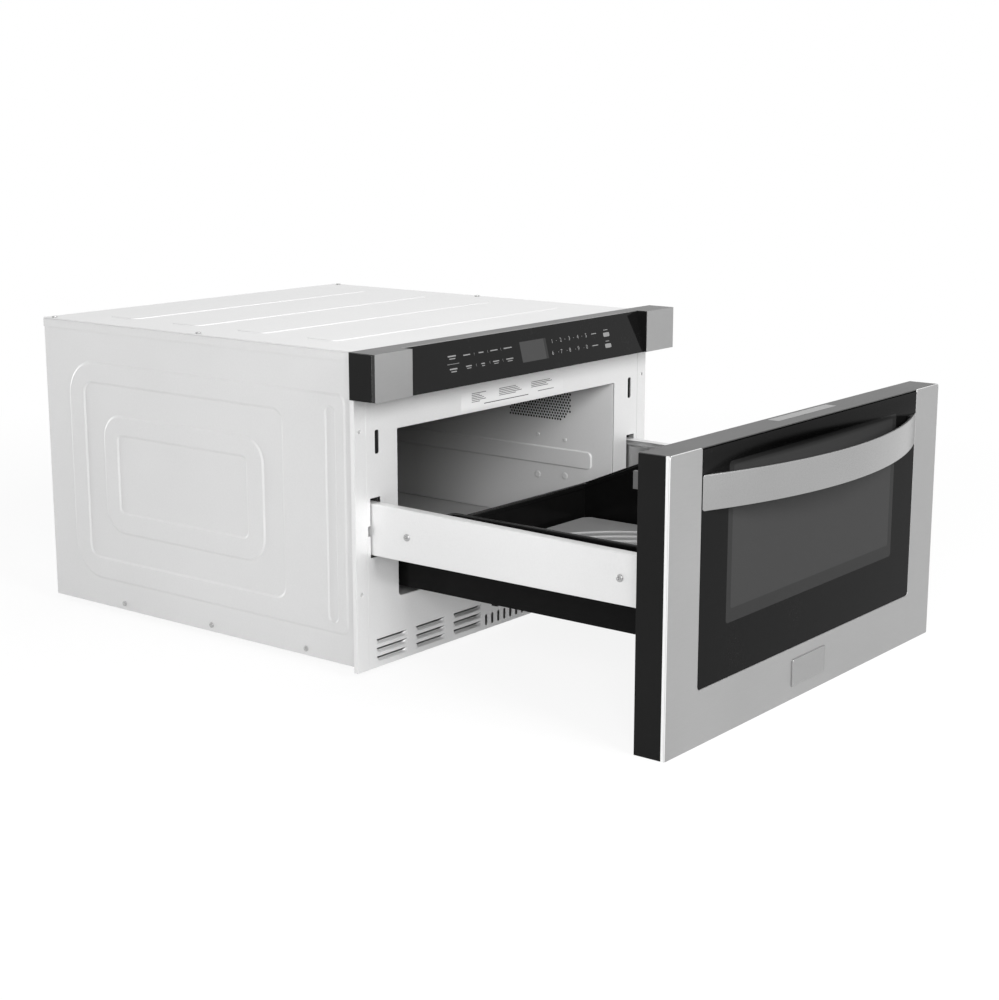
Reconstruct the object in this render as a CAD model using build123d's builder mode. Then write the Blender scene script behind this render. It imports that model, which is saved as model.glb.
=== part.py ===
from build123d import *
import math
import os

# Microwave drawer, built in below a worktop. Millimetres, +X to the right of someone facing the
# front, -Y out of the front, +Z up. The origin lies on the underside of the base plate, at the
# middle of the chassis. The drawer stands open by DRAWER_OUT, as it was photographed.

os.makedirs("parts", exist_ok=True)

# ---------------------------------------------------------------- driving dimensions

# Chassis casing
CHASSIS_WIDTH = 559.5
CHASSIS_DEPTH = 566.0
CHASSIS_HEIGHT = 375.5
SHEET = 1.0
COVER_LIP = 12.0
BASE_LIP = 14.0

# Face plate and the two mounting flanges beside it
FACE_SHEET = 1.2
FACE_GAP = 0.25
FLANGE_WIDTH = 19.25
FLANGE_HEM = 6.0
FLANGE_LEG = 12.0
FLANGE_HOLE_INSET = 9.0
FLANGE_HOLE_SPACING_Z = 192.0
FLANGE_HOLE_MID_Z = 189.5
FLANGE_HOLE_RADIUS = 2.5

# Oven cavity
CAVITY_SIDE_SPACE = 55.75
CAVITY_FLOOR = 79.0
CAVITY_ROOF_SPACE = 94.5
CAVITY_REAR_SPACE = 120.0
CAVITY_CORNER = 5.0

# Louvres low on the face plate: rows of long slots at both sides, short upright ones between
LOUVRE_LENGTH = 55.0
LOUVRE_SLOT = 3.2
LOUVRE_PITCH_X = 71.0
LOUVRE_PITCH_Z = 10.6
LOUVRE_ROW_Z = 22.0
LOUVRE_EDGE = 13.5
LOUVRE_COLUMNS = 3
LOUVRE_ROWS = 3
UPRIGHT_SLOT_HEIGHT = 12.0
UPRIGHT_SLOT_WIDTH = 3.2
UPRIGHT_SLOT_PITCH = 12.4
UPRIGHT_GROUP_GAP = 5.0
UPRIGHT_SLOT_Z = 12.3

# Embossed forms of the side panels, from the front plane backwards and from the base up; a margin
# is what stays between the form and the panel's rear or top edge
EMBOSS_HEIGHT = 1.6
PLATEAU_FRONT = 30.5
PLATEAU_REAR_MARGIN = 47.5
PLATEAU_BOTTOM = 37.5
PLATEAU_TOP_MARGIN = 52.0
PLATEAU_FRONT_RADIUS = 10.0
PLATEAU_REAR_RADIUS = 47.0
POCKET_FRONT = 131.0
POCKET_REAR_MARGIN = 76.0
POCKET_BOTTOM = 65.0
POCKET_TOP_MARGIN = 78.0
POCKET_RADIUS = 16.0
RING_FRONT = 165.0
RING_REAR_MARGIN = 112.0
RING_BOTTOM = 104.0
RING_TOP_MARGIN = 117.5
RING_RADIUS = 32.0
RING_FLOOR_FRONT = 193.0
RING_FLOOR_REAR_MARGIN = 138.0
RING_FLOOR_BOTTOM = 131.0
RING_FLOOR_TOP_MARGIN = 142.5
RING_FLOOR_RADIUS = 8.0
GROOVE_MIDDLE = 52.5
GROOVE_WIDTH = 15.0
GROOVE_BOTTOM = 50.0
GROOVE_TOP_MARGIN = 66.5

# Raised bands across the top cover
BAND_LENGTH = 450.0
BAND_WIDTH = 53.0
BAND_PITCH = 118.5
BAND_COUNT = 4
BAND_FIRST = 119.5
BAND_HEIGHT = 1.2
BAND_CORNER = 12.0

# Screws of the casing
SCREW_HEAD_RADIUS = 3.6
SCREW_HEAD_HEIGHT = 1.8
SCREW_SHANK_RADIUS = 1.6
SCREW_HOLE_CLEARANCE = 0.1
SIDE_SCREW_Z = 8.5
SIDE_SCREW_FRONT = 100.0
SIDE_SCREW_PITCH = 164.5
SIDE_SCREW_COUNT = 3
TOP_SCREW_INSET = 7.75
TOP_SCREW_FRONT = 278.0
TOP_SCREW_REAR_MARGIN = 14.0

# Control panel above the drawer
PANEL_OVERHANG = 7.0
PANEL_HEIGHT = 54.5
PANEL_RISE = 3.5
PANEL_DEPTH = 39.4
PANEL_WALL = 2.5
TRIM_SHEET = 0.9
END_CAP_WIDTH = 64.0
END_CAP_RETURN = 5.0
GLASS_RECESS_BOTTOM = 3.4
GLASS_RECESS_TOP = 17.0
PANEL_GLASS = 3.0
DISPLAY_LEFT = -23.0
DISPLAY_RIGHT = 30.5
DISPLAY_RISE = 14.1
DISPLAY_HEIGHT = 24.8
DISPLAY_CLEARANCE = 0.3
BOARD_SETBACK = 26.0
BOARD_LENGTH = 340.0
BOARD_HEIGHT = 42.0
BOARD_SHEET = 1.6
LABEL_LENGTH = 208.0
LABEL_HEIGHT = 21.5
LABEL_SHEET = 0.2
LABEL_DROP = 28.25

# Drawer travel: the cavity's depth less a space kept at the rear
DRAWER_REAR_SPACE = 54.0
DOOR_SHUT_GAP = 0.8

# Drawer front
DOOR_BOTTOM = -9.0
DOOR_PANEL_GAP = 13.5
DOOR_DEPTH = 38.6
DOOR_WALL = 3.0
DOOR_STEEL = 1.0
DOOR_STEEL_RETURN = 5.5
STILE_WIDTH = 60.0
RAIL_HEIGHT = 61.5
DOOR_GLASS = 4.0
WINDOW_SIDE = 53.0
WINDOW_SILL = 61.0
WINDOW_HEAD = 22.0
WINDOW_LAP = 3.0
INNER_PANEL_SHEET = 1.5
SCREEN_SHEET = 0.6
INNER_GLASS = 3.0
BADGE_X = -6.0
BADGE_WIDTH = 76.0
BADGE_HEIGHT = 32.0
BADGE_SHEET = 1.8
BADGE_RISE = 31.5
TOP_LABEL_LENGTH = 132.0
TOP_LABEL_WIDTH = 14.0
TOP_LABEL_X = 9.0
TOP_LABEL_BACK = 12.0

# Handle: a flat strap bowed outwards, its ends on the drawer front
HANDLE_END_INSET = 61.0
HANDLE_BOW = 43.0
HANDLE_STRAP = 4.0
HANDLE_DROP = 28.5
HANDLE_HEIGHT = 38.0
HANDLE_FOOT_LENGTH = 26.0
HANDLE_EDGE = 0.8
HANDLE_SCREW_INSET = 20.0
HANDLE_SCREW_SPACING = 19.0
HANDLE_SCREW_RADIUS = 2.5
HANDLE_SCREW_DEPTH = 5.0
HANDLE_SCREW_HEAD_RADIUS = 4.5
HANDLE_SCREW_HEAD_HEIGHT = 3.0

# Latch hooks behind the drawer front and their slots
HOOK_INSET = 11.0
HOOK_THICKNESS = 4.5
HOOK_DROP = 30.0
HOOK_HEIGHT = 19.0
HOOK_REACH = 35.0
HOOK_BASE_WIDTH = 16.0
HOOK_BASE_SHEET = 3.0
HOOK_NOSE_DROP = 6.0
HOOK_NOSE_LENGTH = 9.0
HOOK_SLOT_CLEARANCE = 0.3
LATCH_SLOT_SIDE = 0.5
LATCH_SLOT_ABOVE = 2.95
LATCH_SLOT_BELOW = 5.55

# Drawer pan and tray
PAN_SIDE_GAP = 8.0
PAN_SHEET = 1.5
PAN_LIFT = 10.5
PAN_REAR = 43.0
PAN_SIDE_HEIGHT = 96.5
PAN_REAR_HEIGHT = 47.5
PAN_SLOPE_END = 75.0
PAN_RIM = 3.5
PAN_RIM_HEIGHT = 5.0
PAN_FLANGE = 12.0
PAN_SCREW_INSET = 7.0
PAN_SCREW_RISE = 22.5
PAN_SCREW_FALL = 16.0
PAN_GUIDE_INSET = 14.0
PAN_GUIDE_Y = 130.0
PAN_GUIDE_LENGTH = 8.0
PAN_GUIDE_WIDTH = 8.0
PAN_GUIDE_DEPTH = 5.0
TRAY_MARGIN = 9.0
TRAY_THICKNESS = 4.5
TRAY_CORNER = 18.0
TRAY_RIB_EDGE = 7.0
TRAY_RIB_PITCH = 26.0
TRAY_RIB_COUNT = 5
TRAY_RIB_WIDTH = 5.0
TRAY_RIB_HEIGHT = 1.5

# Drawer arms
ARM_SIDE_GAP = 9.25
ARM_SHEET = 1.5
ARM_BOTTOM = 137.0
ARM_HEIGHT = 63.0
ARM_FLANGE = 13.0
ARM_REAR = 56.0
ARM_END_SCREW_SIDE = 6.5
ARM_END_SCREW_INSET = 16.0
ARM_SCREW_DROP = 2.1
ARM_SCREW_FROM_DOOR = 43.8
ARM_SCREW_REAR = 54.0
ARM_SCREW_HEAD_RADIUS = 4.2
ARM_SCREW_HEAD_HEIGHT = 2.4
ARM_SCREW_SHANK_RADIUS = 2.0
ARM_SCREW_REACH = 4.0
ARM_OPENING_SIDE_GAP = 2.0
ARM_OPENING_INNER_GAP = 1.0
ARM_OPENING_BELOW = 2.5
ARM_OPENING_ABOVE = 3.5
ARM_OPENING_CORNER = 3.0
SCREW_NOTCH_DEPTH = 5.5
SCREW_NOTCH_HEIGHT = 12.0

# Telescopic slides: one rail on the arm, one between, one in the chassis
SLIDE_SHEET = 1.2
SLIDE_HEIGHT = 45.7
SLIDE_RISE = 31.6
SLIDE_DEPTH = 12.7
SLIDE_PLAY = 0.45
SLIDE_LENGTH = 440.0
SLIDE_FRONT = 8.0
RAIL_BRACKET_SHEET = 1.5
RAIL_BRACKET_FRONT = 4.0
RAIL_BRACKET_REAR = 440.0
RAIL_BRACKET_RISE = 6.0
RAIL_BRACKET_LIP = 14.0

# Rack and pinion that drive the drawer, on the left
GEAR_MODULE = 1.25
PINION_TEETH = 16
TOOTH_SHARE = 0.40
ADDENDUM = 0.85
DEDENDUM = 1.25
PRESSURE_ANGLE = 20.0
PINION_Y = 40.0
RACK_BACK = 4.5
RACK_HEIGHT = 5.8
RACK_FLOOR_GAP = 0.4
PINION_HEIGHT = 5.2
PINION_LIFT = 0.6
PINION_SHAFT_RADIUS = 2.5
RACK_OVERRUN = 12.0
MOTOR_BRACKET_SHEET = 1.5
MOTOR_BRACKET_GAP = 2.0
MOTOR_BRACKET_LIP = 16.0
MOTOR_BRACKET_FRONT = 16.0
MOTOR_BRACKET_REAR = 72.0
GEARBOX_WIDTH = 40.0
GEARBOX_LENGTH = 50.0
GEARBOX_HEIGHT = 20.0
MOTOR_CAN_RADIUS = 15.0
MOTOR_CAN_HEIGHT = 44.0
PINION_SHAFT_PLAY = 0.06
PINION_SHAFT_DEPTH = 9.0

# Interlock switches behind the latch slots
SWITCH_FRONT = 38.0
SWITCH_WIDTH = 13.0
SWITCH_LENGTH = 26.0
SWITCH_HEIGHT = 18.0
SWITCH_BRACKET_SHEET = 1.5
SWITCH_BRACKET_HEIGHT = 36.0
PLUNGER_RADIUS = 2.0
PLUNGER_PROUD = 3.5
PLUNGER_DEPTH = 6.0
PLUNGER_PLAY = 0.06
PLUNGER_TRAVEL = 2.5
PLUNGER_DROP = 10.0
SWITCH_BRACKET_FOOT = 14.0

# Microwave feed above the cavity
WAVEGUIDE_WIDTH = 92.0
WAVEGUIDE_FRONT = 235.0
WAVEGUIDE_REAR_GAP = 14.0
WAVEGUIDE_HEIGHT = 40.0
WAVEGUIDE_WALL = 1.2
FEED_HOLE_RADIUS = 32.0
FEED_Y = 280.0
STIRRER_RADIUS = 62.0
STIRRER_SHEET = 1.0
STIRRER_BLADES = 4
STIRRER_DROP = 6.0
STIRRER_SHAFT_RADIUS = 3.0
STIRRER_SHAFT_PLAY = 0.06
STIRRER_COVER_SIDE = 170.0
STIRRER_COVER_DROP = 13.0
STIRRER_COVER_SHEET = 1.5
COVER_POST_RADIUS = 3.0
STIRRER_BLADE_WIDTH = 24.0
STIRRER_HUB_RADIUS = 9.0
STIRRER_MOTOR_RADIUS = 24.0
STIRRER_MOTOR_HEIGHT = 16.0
STIRRER_SHAFT_GRIP = 10.0
MAGNETRON_WIDTH = 84.0
MAGNETRON_LENGTH = 90.0
MAGNETRON_HEIGHT = 72.0
MAGNETRON_WALL = 1.6
MAGNETRON_FINS = 7
MAGNETRON_FIN_SHEET = 0.8
MAGNETRON_FIN_INSET = 4.0
MAGNETRON_CORE_RADIUS = 19.0
ANTENNA_RADIUS = 8.0
ANTENNA_LENGTH = 26.0

# High-voltage parts and cooling behind the cavity
TRANSFORMER_X = -165.0
TRANSFORMER_WIDTH = 104.0
TRANSFORMER_LENGTH = 64.0
TRANSFORMER_HEIGHT = 86.0
TRANSFORMER_YOKE = 18.0
COIL_OVERHANG = 15.0
COIL_GAP = 0.3
CAPACITOR_X = -62.0
CAPACITOR_WIDTH = 50.0
CAPACITOR_DEPTH = 32.0
CAPACITOR_HEIGHT = 84.0
CLAMP_SHEET = 1.5
CLAMP_EAR = 14.0
BLOWER_X = 84.0
BLOWER_Z = 70.0
BLOWER_BAY_GAP = 6.0
BLOWER_WIDTH = 62.0
BLOWER_WALL = 1.6
WHEEL_ROOM = 10.0
WHEEL_HUB_RADIUS = 9.0
WHEEL_VANES = 20
WHEEL_VANE_SHEET = 1.2
WHEEL_VANE_DEPTH = 10.0
WHEEL_SIDE_GAP = 4.0
BLOWER_SHAFT_RADIUS = 3.0
BLOWER_MOTOR_RADIUS = 28.0
BLOWER_MOTOR_LENGTH = 34.0
BLOWER_FOOT_SHEET = 2.0
BLOWER_FOOT_LENGTH = 80.0
BLOWER_WEB = 6.0
DUCT_TOP_GAP = 2.0
DUCT_LENGTH = 46.0
DUCT_MOUTH_HEIGHT = 62.0

# Small electrical parts
FILTER_LENGTH = 110.0
FILTER_WIDTH = 62.0
FILTER_X = -170.0
FILTER_Y = 130.0
FILTER_STANDOFF = 8.0
STANDOFF_RADIUS = 3.0
CHOKE_RADIUS = 13.0
CHOKE_BORE = 6.0
CHOKE_HEIGHT = 14.0
LAMP_X = 150.0
LAMP_REAR_INSET = 46.0
LAMP_SIDE = 34.0
LAMP_HEIGHT = 26.0
LAMP_HOLE_RADIUS = 12.0
BULB_RADIUS = 9.0
BULB_DROP = 3.0
GLAND_X = -205.0
GLAND_Z = 52.0
GLAND_RADIUS = 9.0
GLAND_FLANGE_RADIUS = 13.0
GLAND_OUT = 18.0
GLAND_BORE = 4.0
BACK_VENT_SLOTS = 12
BACK_VENT_PITCH = 7.0
BACK_VENT_SLOT = 3.4
BACK_VENT_HEIGHT = 60.0

# ---------------------------------------------------------------- places worked out from them

FACE = -CHASSIS_DEPTH / 2
BEHIND_FACE = FACE + FACE_SHEET
REAR = CHASSIS_DEPTH / 2
COVER_UNDERSIDE = CHASSIS_HEIGHT - SHEET
PANEL_SIDE = CHASSIS_WIDTH / 2 - SHEET
INSIDE = PANEL_SIDE - SHEET
FACE_HALF = INSIDE - SHEET - FACE_GAP
FLANGE_INNER = FACE_HALF + FACE_GAP
FLANGE_OUTER = FLANGE_INNER + FLANGE_WIDTH

CAVITY_HALF = INSIDE - CAVITY_SIDE_SPACE
CAVITY_CEILING = CHASSIS_HEIGHT - CAVITY_ROOF_SPACE
LINER_HALF = CAVITY_HALF + SHEET
LINER_TOP = CAVITY_CEILING + SHEET
LINER_REAR = REAR - CAVITY_REAR_SPACE

LOUVRE_GROUP_HALF = ((LOUVRE_COLUMNS - 1) * LOUVRE_PITCH_X + LOUVRE_LENGTH) / 2
LOUVRE_GROUP_X = FACE_HALF - LOUVRE_EDGE - LOUVRE_GROUP_HALF
UPRIGHT_ROOM = 2 * (LOUVRE_GROUP_X - LOUVRE_GROUP_HALF - UPRIGHT_GROUP_GAP) - UPRIGHT_SLOT_WIDTH
UPRIGHT_SLOT_COUNT = math.floor(UPRIGHT_ROOM / UPRIGHT_SLOT_PITCH) + 1

PANEL_TOP = CHASSIS_HEIGHT + PANEL_RISE
PANEL_BOTTOM = PANEL_TOP - PANEL_HEIGHT
PANEL_FRONT = FACE - PANEL_DEPTH
PANEL_HALF = FLANGE_OUTER + PANEL_OVERHANG
PANEL_GLASS_TOP = PANEL_TOP - TRIM_SHEET
PANEL_GLASS_HALF = PANEL_HALF - END_CAP_WIDTH
BOARD_FRONT = PANEL_FRONT + BOARD_SETBACK
DISPLAY_BOTTOM = PANEL_BOTTOM + DISPLAY_RISE
DISPLAY_TOP = DISPLAY_BOTTOM + DISPLAY_HEIGHT
LABEL_MIDDLE_Z = PANEL_BOTTOM - LABEL_DROP

DRAWER_OUT = LINER_REAR - FACE - DRAWER_REAR_SPACE
DRAWER_REST = -DRAWER_OUT
DOOR_REAR = FACE - DOOR_SHUT_GAP - DRAWER_OUT
DOOR_FRONT = DOOR_REAR - DOOR_DEPTH
DOOR_TOP = PANEL_BOTTOM - DOOR_PANEL_GAP
DOOR_HALF = PANEL_HALF
GLASS_HALF = DOOR_HALF - STILE_WIDTH
GLASS_BOTTOM = DOOR_BOTTOM + RAIL_HEIGHT
WINDOW_HALF = GLASS_HALF - WINDOW_SIDE
WINDOW_BOTTOM = GLASS_BOTTOM + WINDOW_SILL
WINDOW_TOP = DOOR_TOP - WINDOW_HEAD
BADGE_MIDDLE_Z = DOOR_BOTTOM + BADGE_RISE
HANDLE_HALF = DOOR_HALF - HANDLE_END_INSET
HANDLE_TOP = DOOR_TOP - HANDLE_DROP
HANDLE_BOTTOM = HANDLE_TOP - HANDLE_HEIGHT
HANDLE_SCREW_X = HANDLE_HALF - HANDLE_SCREW_INSET

PAN_HALF = CAVITY_HALF - PAN_SIDE_GAP
PAN_BOTTOM = CAVITY_FLOOR + PAN_LIFT
PAN_SIDE_TOP = PAN_BOTTOM + PAN_SIDE_HEIGHT
PAN_REAR_TOP = PAN_BOTTOM + PAN_REAR_HEIGHT
PAN_SCREW_X = PAN_HALF - PAN_SCREW_INSET
PAN_SCREW_LOW = PAN_BOTTOM + PAN_SCREW_RISE
PAN_SCREW_HIGH = PAN_SIDE_TOP - PAN_SCREW_FALL
TRAY_FLOOR = PAN_BOTTOM + PAN_SHEET

ARM_OUTER = INSIDE - ARM_SIDE_GAP
ARM_INNER = ARM_OUTER - ARM_SHEET
ARM_TOP = ARM_BOTTOM + ARM_HEIGHT
ARM_FLANGE_EDGE = ARM_OUTER - ARM_FLANGE
ARM_END_SCREW_X = ARM_OUTER - ARM_END_SCREW_SIDE
CHASSIS_WEB = ARM_INNER - SLIDE_DEPTH
SLIDE_MID_Z = ARM_BOTTOM + SLIDE_RISE
ARM_SCREW_Z = SLIDE_MID_Z - ARM_SCREW_DROP
ARM_SCREW_FRONT = DRAWER_OUT + DOOR_SHUT_GAP - ARM_SCREW_FROM_DOOR
RAIL_BRACKET_TOP = ARM_TOP + RAIL_BRACKET_RISE

HOOK_X = ARM_OUTER - HOOK_INSET
HOOK_TOP = DOOR_TOP - HOOK_DROP
HOOK_BOTTOM = HOOK_TOP - HOOK_HEIGHT
LATCH_SLOT_WIDTH = HOOK_THICKNESS + 2 * LATCH_SLOT_SIDE
LATCH_SLOT_TOP = HOOK_TOP + LATCH_SLOT_ABOVE
LATCH_SLOT_BOTTOM = HOOK_BOTTOM - LATCH_SLOT_BELOW
PLUNGER_Z = HOOK_TOP - PLUNGER_DROP

PITCH_RADIUS = GEAR_MODULE * PINION_TEETH / 2
TOOTH_PITCH = math.pi * GEAR_MODULE
PITCH_LINE = ARM_INNER - RACK_BACK - DEDENDUM * GEAR_MODULE
PINION_X = PITCH_LINE - PITCH_RADIUS
RACK_BOTTOM = ARM_BOTTOM + ARM_SHEET + RACK_FLOOR_GAP
PINION_BOTTOM = ARM_BOTTOM + ARM_SHEET + PINION_LIFT
MOTOR_BRACKET_TOP = ARM_BOTTOM - MOTOR_BRACKET_GAP

WAVEGUIDE_TOP = LINER_TOP + WAVEGUIDE_HEIGHT
BAY_Y = REAR - CAVITY_REAR_SPACE / 2
BLOWER_RADIUS = CAVITY_REAR_SPACE / 2 - BLOWER_BAY_GAP
WHEEL_RADIUS = BLOWER_RADIUS - WHEEL_ROOM
DUCT_TOP = LINER_TOP - DUCT_TOP_GAP
DUCT_MOUTH_BOTTOM = DUCT_TOP - DUCT_MOUTH_HEIGHT
LAMP_Y = LINER_REAR - LAMP_REAR_INSET
SCREW_HOLE_RADIUS = SCREW_SHANK_RADIUS + SCREW_HOLE_CLEARANCE


# ---------------------------------------------------------------- helpers

def block(x_from, x_to, y_from, y_to, z_from, z_to, mode=Mode.ADD):
    """A box between two corners, in the part that is open."""
    middle = ((x_from + x_to) / 2, (y_from + y_to) / 2, (z_from + z_to) / 2)
    with Locations(middle):
        Box(abs(x_to - x_from), abs(y_to - y_from), abs(z_to - z_from), mode=mode)


def rod(radius, start, direction, length, mode=Mode.ADD):
    """A round rod from a start point along a direction, in the part that is open."""
    with BuildSketch(Plane(origin=start, z_dir=direction)) as profile:
        Circle(radius)
    extrude(profile.sketch, amount=length, mode=mode)


def save(piece, label):
    """Name a finished sub-part and write it."""
    piece.part.label = label
    export_step(piece.part, f"parts/{label}.step")


def emboss(outer_plane, limits, front_radius, rear_radius, height, mode=Mode.ADD):
    """A rounded rectangle raised from, or sunk into, an upright sheet: limits are y and z."""
    front, rear, bottom, top = limits
    with BuildSketch(outer_plane) as outline:
        with Locations(((front + rear) / 2, (bottom + top) / 2)):
            Rectangle(rear - front, top - bottom)
        fillet(outline.vertices().group_by(Axis.X)[0], radius=front_radius)
        fillet(outline.vertices().group_by(Axis.X)[-1], radius=rear_radius)
    extrude(outline.sketch, amount=height, mode=mode)


def prism(x_from, x_to, outline, mode=Mode.ADD):
    """A solid between two x places, its y and z outline given as points, in the part that is open."""
    with BuildSketch(Plane(origin=(x_from, 0, 0), x_dir=(0, 1, 0), z_dir=(1, 0, 0))) as profile:
        with BuildLine():
            Polyline(*outline, close=True)
        make_face()
    extrude(profile.sketch, amount=x_to - x_from, mode=mode)


def slot_through(x_middle, z_middle, width, height, corner, y_front, depth):
    """A rounded rectangular hole from the front, in the part that is open."""
    with BuildSketch(Plane(origin=(x_middle, y_front, z_middle), x_dir=(1, 0, 0), z_dir=(0, 1, 0))) as outline:
        RectangleRounded(width, height, corner)
    extrude(outline.sketch, amount=depth, mode=Mode.SUBTRACT)


# ---------------------------------------------------------------- chassis casing

TOP_SCREW_X = CHASSIS_WIDTH / 2 - TOP_SCREW_INSET
TOP_SCREW_PLACES = [(side * TOP_SCREW_X, place_y, CHASSIS_HEIGHT) for side in (-1, 1)
                    for place_y in (FACE + TOP_SCREW_FRONT, REAR - TOP_SCREW_REAR_MARGIN)]


def make_base_plate():
    with BuildPart() as base_plate:
        block(-INSIDE, INSIDE, BEHIND_FACE, REAR - SHEET, 0, SHEET)
        lip_front = BEHIND_FACE + FLANGE_LEG
        for side in (-1, 1):
            block(side * INSIDE, side * (INSIDE - SHEET), lip_front, REAR - SHEET, SHEET, BASE_LIP)
            for number in range(SIDE_SCREW_COUNT):
                screw_y = FACE + SIDE_SCREW_FRONT + number * SIDE_SCREW_PITCH
                start = (side * (INSIDE + SHEET), screw_y, SIDE_SCREW_Z)
                rod(SCREW_HOLE_RADIUS, start, (-side, 0, 0), 3 * SHEET, mode=Mode.SUBTRACT)
    save(base_plate, "base_plate")


def make_side_panel(side, label):
    with BuildPart() as panel:
        block(side * PANEL_SIDE, side * INSIDE, BEHIND_FACE, REAR, 0, COVER_UNDERSIDE)
        outer = Plane(origin=(side * PANEL_SIDE, FACE, 0), x_dir=(0, 1, 0), z_dir=(1, 0, 0))
        depth = CHASSIS_DEPTH
        height = CHASSIS_HEIGHT
        plateau = (PLATEAU_FRONT, depth - PLATEAU_REAR_MARGIN, PLATEAU_BOTTOM, height - PLATEAU_TOP_MARGIN)
        pocket = (POCKET_FRONT, depth - POCKET_REAR_MARGIN, POCKET_BOTTOM, height - POCKET_TOP_MARGIN)
        ring = (RING_FRONT, depth - RING_REAR_MARGIN, RING_BOTTOM, height - RING_TOP_MARGIN)
        floor = (RING_FLOOR_FRONT, depth - RING_FLOOR_REAR_MARGIN, RING_FLOOR_BOTTOM,
                 height - RING_FLOOR_TOP_MARGIN)
        groove_half = GROOVE_WIDTH / 2
        groove = (GROOVE_MIDDLE - groove_half, GROOVE_MIDDLE + groove_half, GROOVE_BOTTOM,
                  height - GROOVE_TOP_MARGIN)
        raised = side * EMBOSS_HEIGHT
        emboss(outer, plateau, PLATEAU_FRONT_RADIUS, PLATEAU_REAR_RADIUS, raised)
        emboss(outer, pocket, POCKET_RADIUS, POCKET_RADIUS, raised, mode=Mode.SUBTRACT)
        emboss(outer, ring, RING_RADIUS, RING_RADIUS, raised)
        emboss(outer, floor, RING_FLOOR_RADIUS, RING_FLOOR_RADIUS, raised, mode=Mode.SUBTRACT)
        emboss(outer, groove, groove_half / 2, groove_half / 2, raised, mode=Mode.SUBTRACT)
        for number in range(SIDE_SCREW_COUNT):
            screw_y = FACE + SIDE_SCREW_FRONT + number * SIDE_SCREW_PITCH
            start = (side * (INSIDE + 2 * SHEET), screw_y, SIDE_SCREW_Z)
            rod(SCREW_HOLE_RADIUS, start, (-side, 0, 0), 3 * SHEET, mode=Mode.SUBTRACT)
    save(panel, label)


def make_top_cover():
    half = CHASSIS_WIDTH / 2
    with BuildPart() as top_cover:
        block(-half, half, BEHIND_FACE, REAR, COVER_UNDERSIDE, CHASSIS_HEIGHT)
        for side in (-1, 1):
            lip = CHASSIS_HEIGHT - COVER_LIP
            block(side * half, side * PANEL_SIDE, BEHIND_FACE, REAR, lip, COVER_UNDERSIDE)
        first = FACE + BAND_FIRST
        with BuildSketch(Plane.XY.offset(CHASSIS_HEIGHT)):
            with Locations([(0, first + number * BAND_PITCH) for number in range(BAND_COUNT)]):
                RectangleRounded(BAND_LENGTH, BAND_WIDTH, BAND_CORNER)
        extrude(amount=BAND_HEIGHT)
        for place in TOP_SCREW_PLACES:
            rod(SCREW_HOLE_RADIUS, place, (0, 0, -1), 2 * SHEET, mode=Mode.SUBTRACT)
    save(top_cover, "top_cover")


def make_back_panel():
    with BuildPart() as back_panel:
        block(-INSIDE, INSIDE, REAR - SHEET, REAR, 0, COVER_UNDERSIDE)
        first = BLOWER_X - (BACK_VENT_SLOTS - 1) * BACK_VENT_PITCH / 2
        for number in range(BACK_VENT_SLOTS):
            slot_x = first + number * BACK_VENT_PITCH
            slot_through(slot_x, BLOWER_Z, BACK_VENT_SLOT, BACK_VENT_HEIGHT, BACK_VENT_SLOT / 2 - 0.1,
                         REAR - 2 * SHEET, 3 * SHEET)
        rod(GLAND_RADIUS, (GLAND_X, REAR + SHEET, GLAND_Z), (0, -1, 0), 3 * SHEET, mode=Mode.SUBTRACT)
    save(back_panel, "back_panel")


def make_cabinet_screws():
    with BuildPart() as cabinet_screws:
        for side in (-1, 1):
            for number in range(SIDE_SCREW_COUNT):
                screw_y = FACE + SIDE_SCREW_FRONT + number * SIDE_SCREW_PITCH
                seat = (side * PANEL_SIDE, screw_y, SIDE_SCREW_Z)
                rod(SCREW_HEAD_RADIUS, seat, (side, 0, 0), SCREW_HEAD_HEIGHT)
                rod(SCREW_SHANK_RADIUS, seat, (-side, 0, 0), 3 * SHEET)
        for seat in TOP_SCREW_PLACES:
            rod(SCREW_HEAD_RADIUS, seat, (0, 0, 1), SCREW_HEAD_HEIGHT)
            rod(SCREW_SHANK_RADIUS, seat, (0, 0, -1), 3 * SHEET)
    save(cabinet_screws, "cabinet_screws")


def make_mounting_flange(side, label):
    """The flange that lies against the kitchen cabinet: strip, rolled hem and inner leg."""
    outer = side * FLANGE_OUTER
    leg = side * INSIDE
    with BuildPart() as flange:
        block(outer, side * FLANGE_INNER, FACE, BEHIND_FACE, 0, COVER_UNDERSIDE)
        block(outer, outer - side * SHEET, BEHIND_FACE, FACE + FLANGE_HEM, 0, COVER_UNDERSIDE)
        block(leg, leg - side * SHEET, BEHIND_FACE, BEHIND_FACE + FLANGE_LEG - FACE_GAP, SHEET, COVER_UNDERSIDE)
        for rise in (-1, 1):
            hole_z = FLANGE_HOLE_MID_Z + rise * FLANGE_HOLE_SPACING_Z / 2
            start = (side * (FLANGE_OUTER - FLANGE_HOLE_INSET), FACE - SHEET, hole_z)
            rod(FLANGE_HOLE_RADIUS, start, (0, 1, 0), 4 * SHEET, mode=Mode.SUBTRACT)
    save(flange, label)


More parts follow.
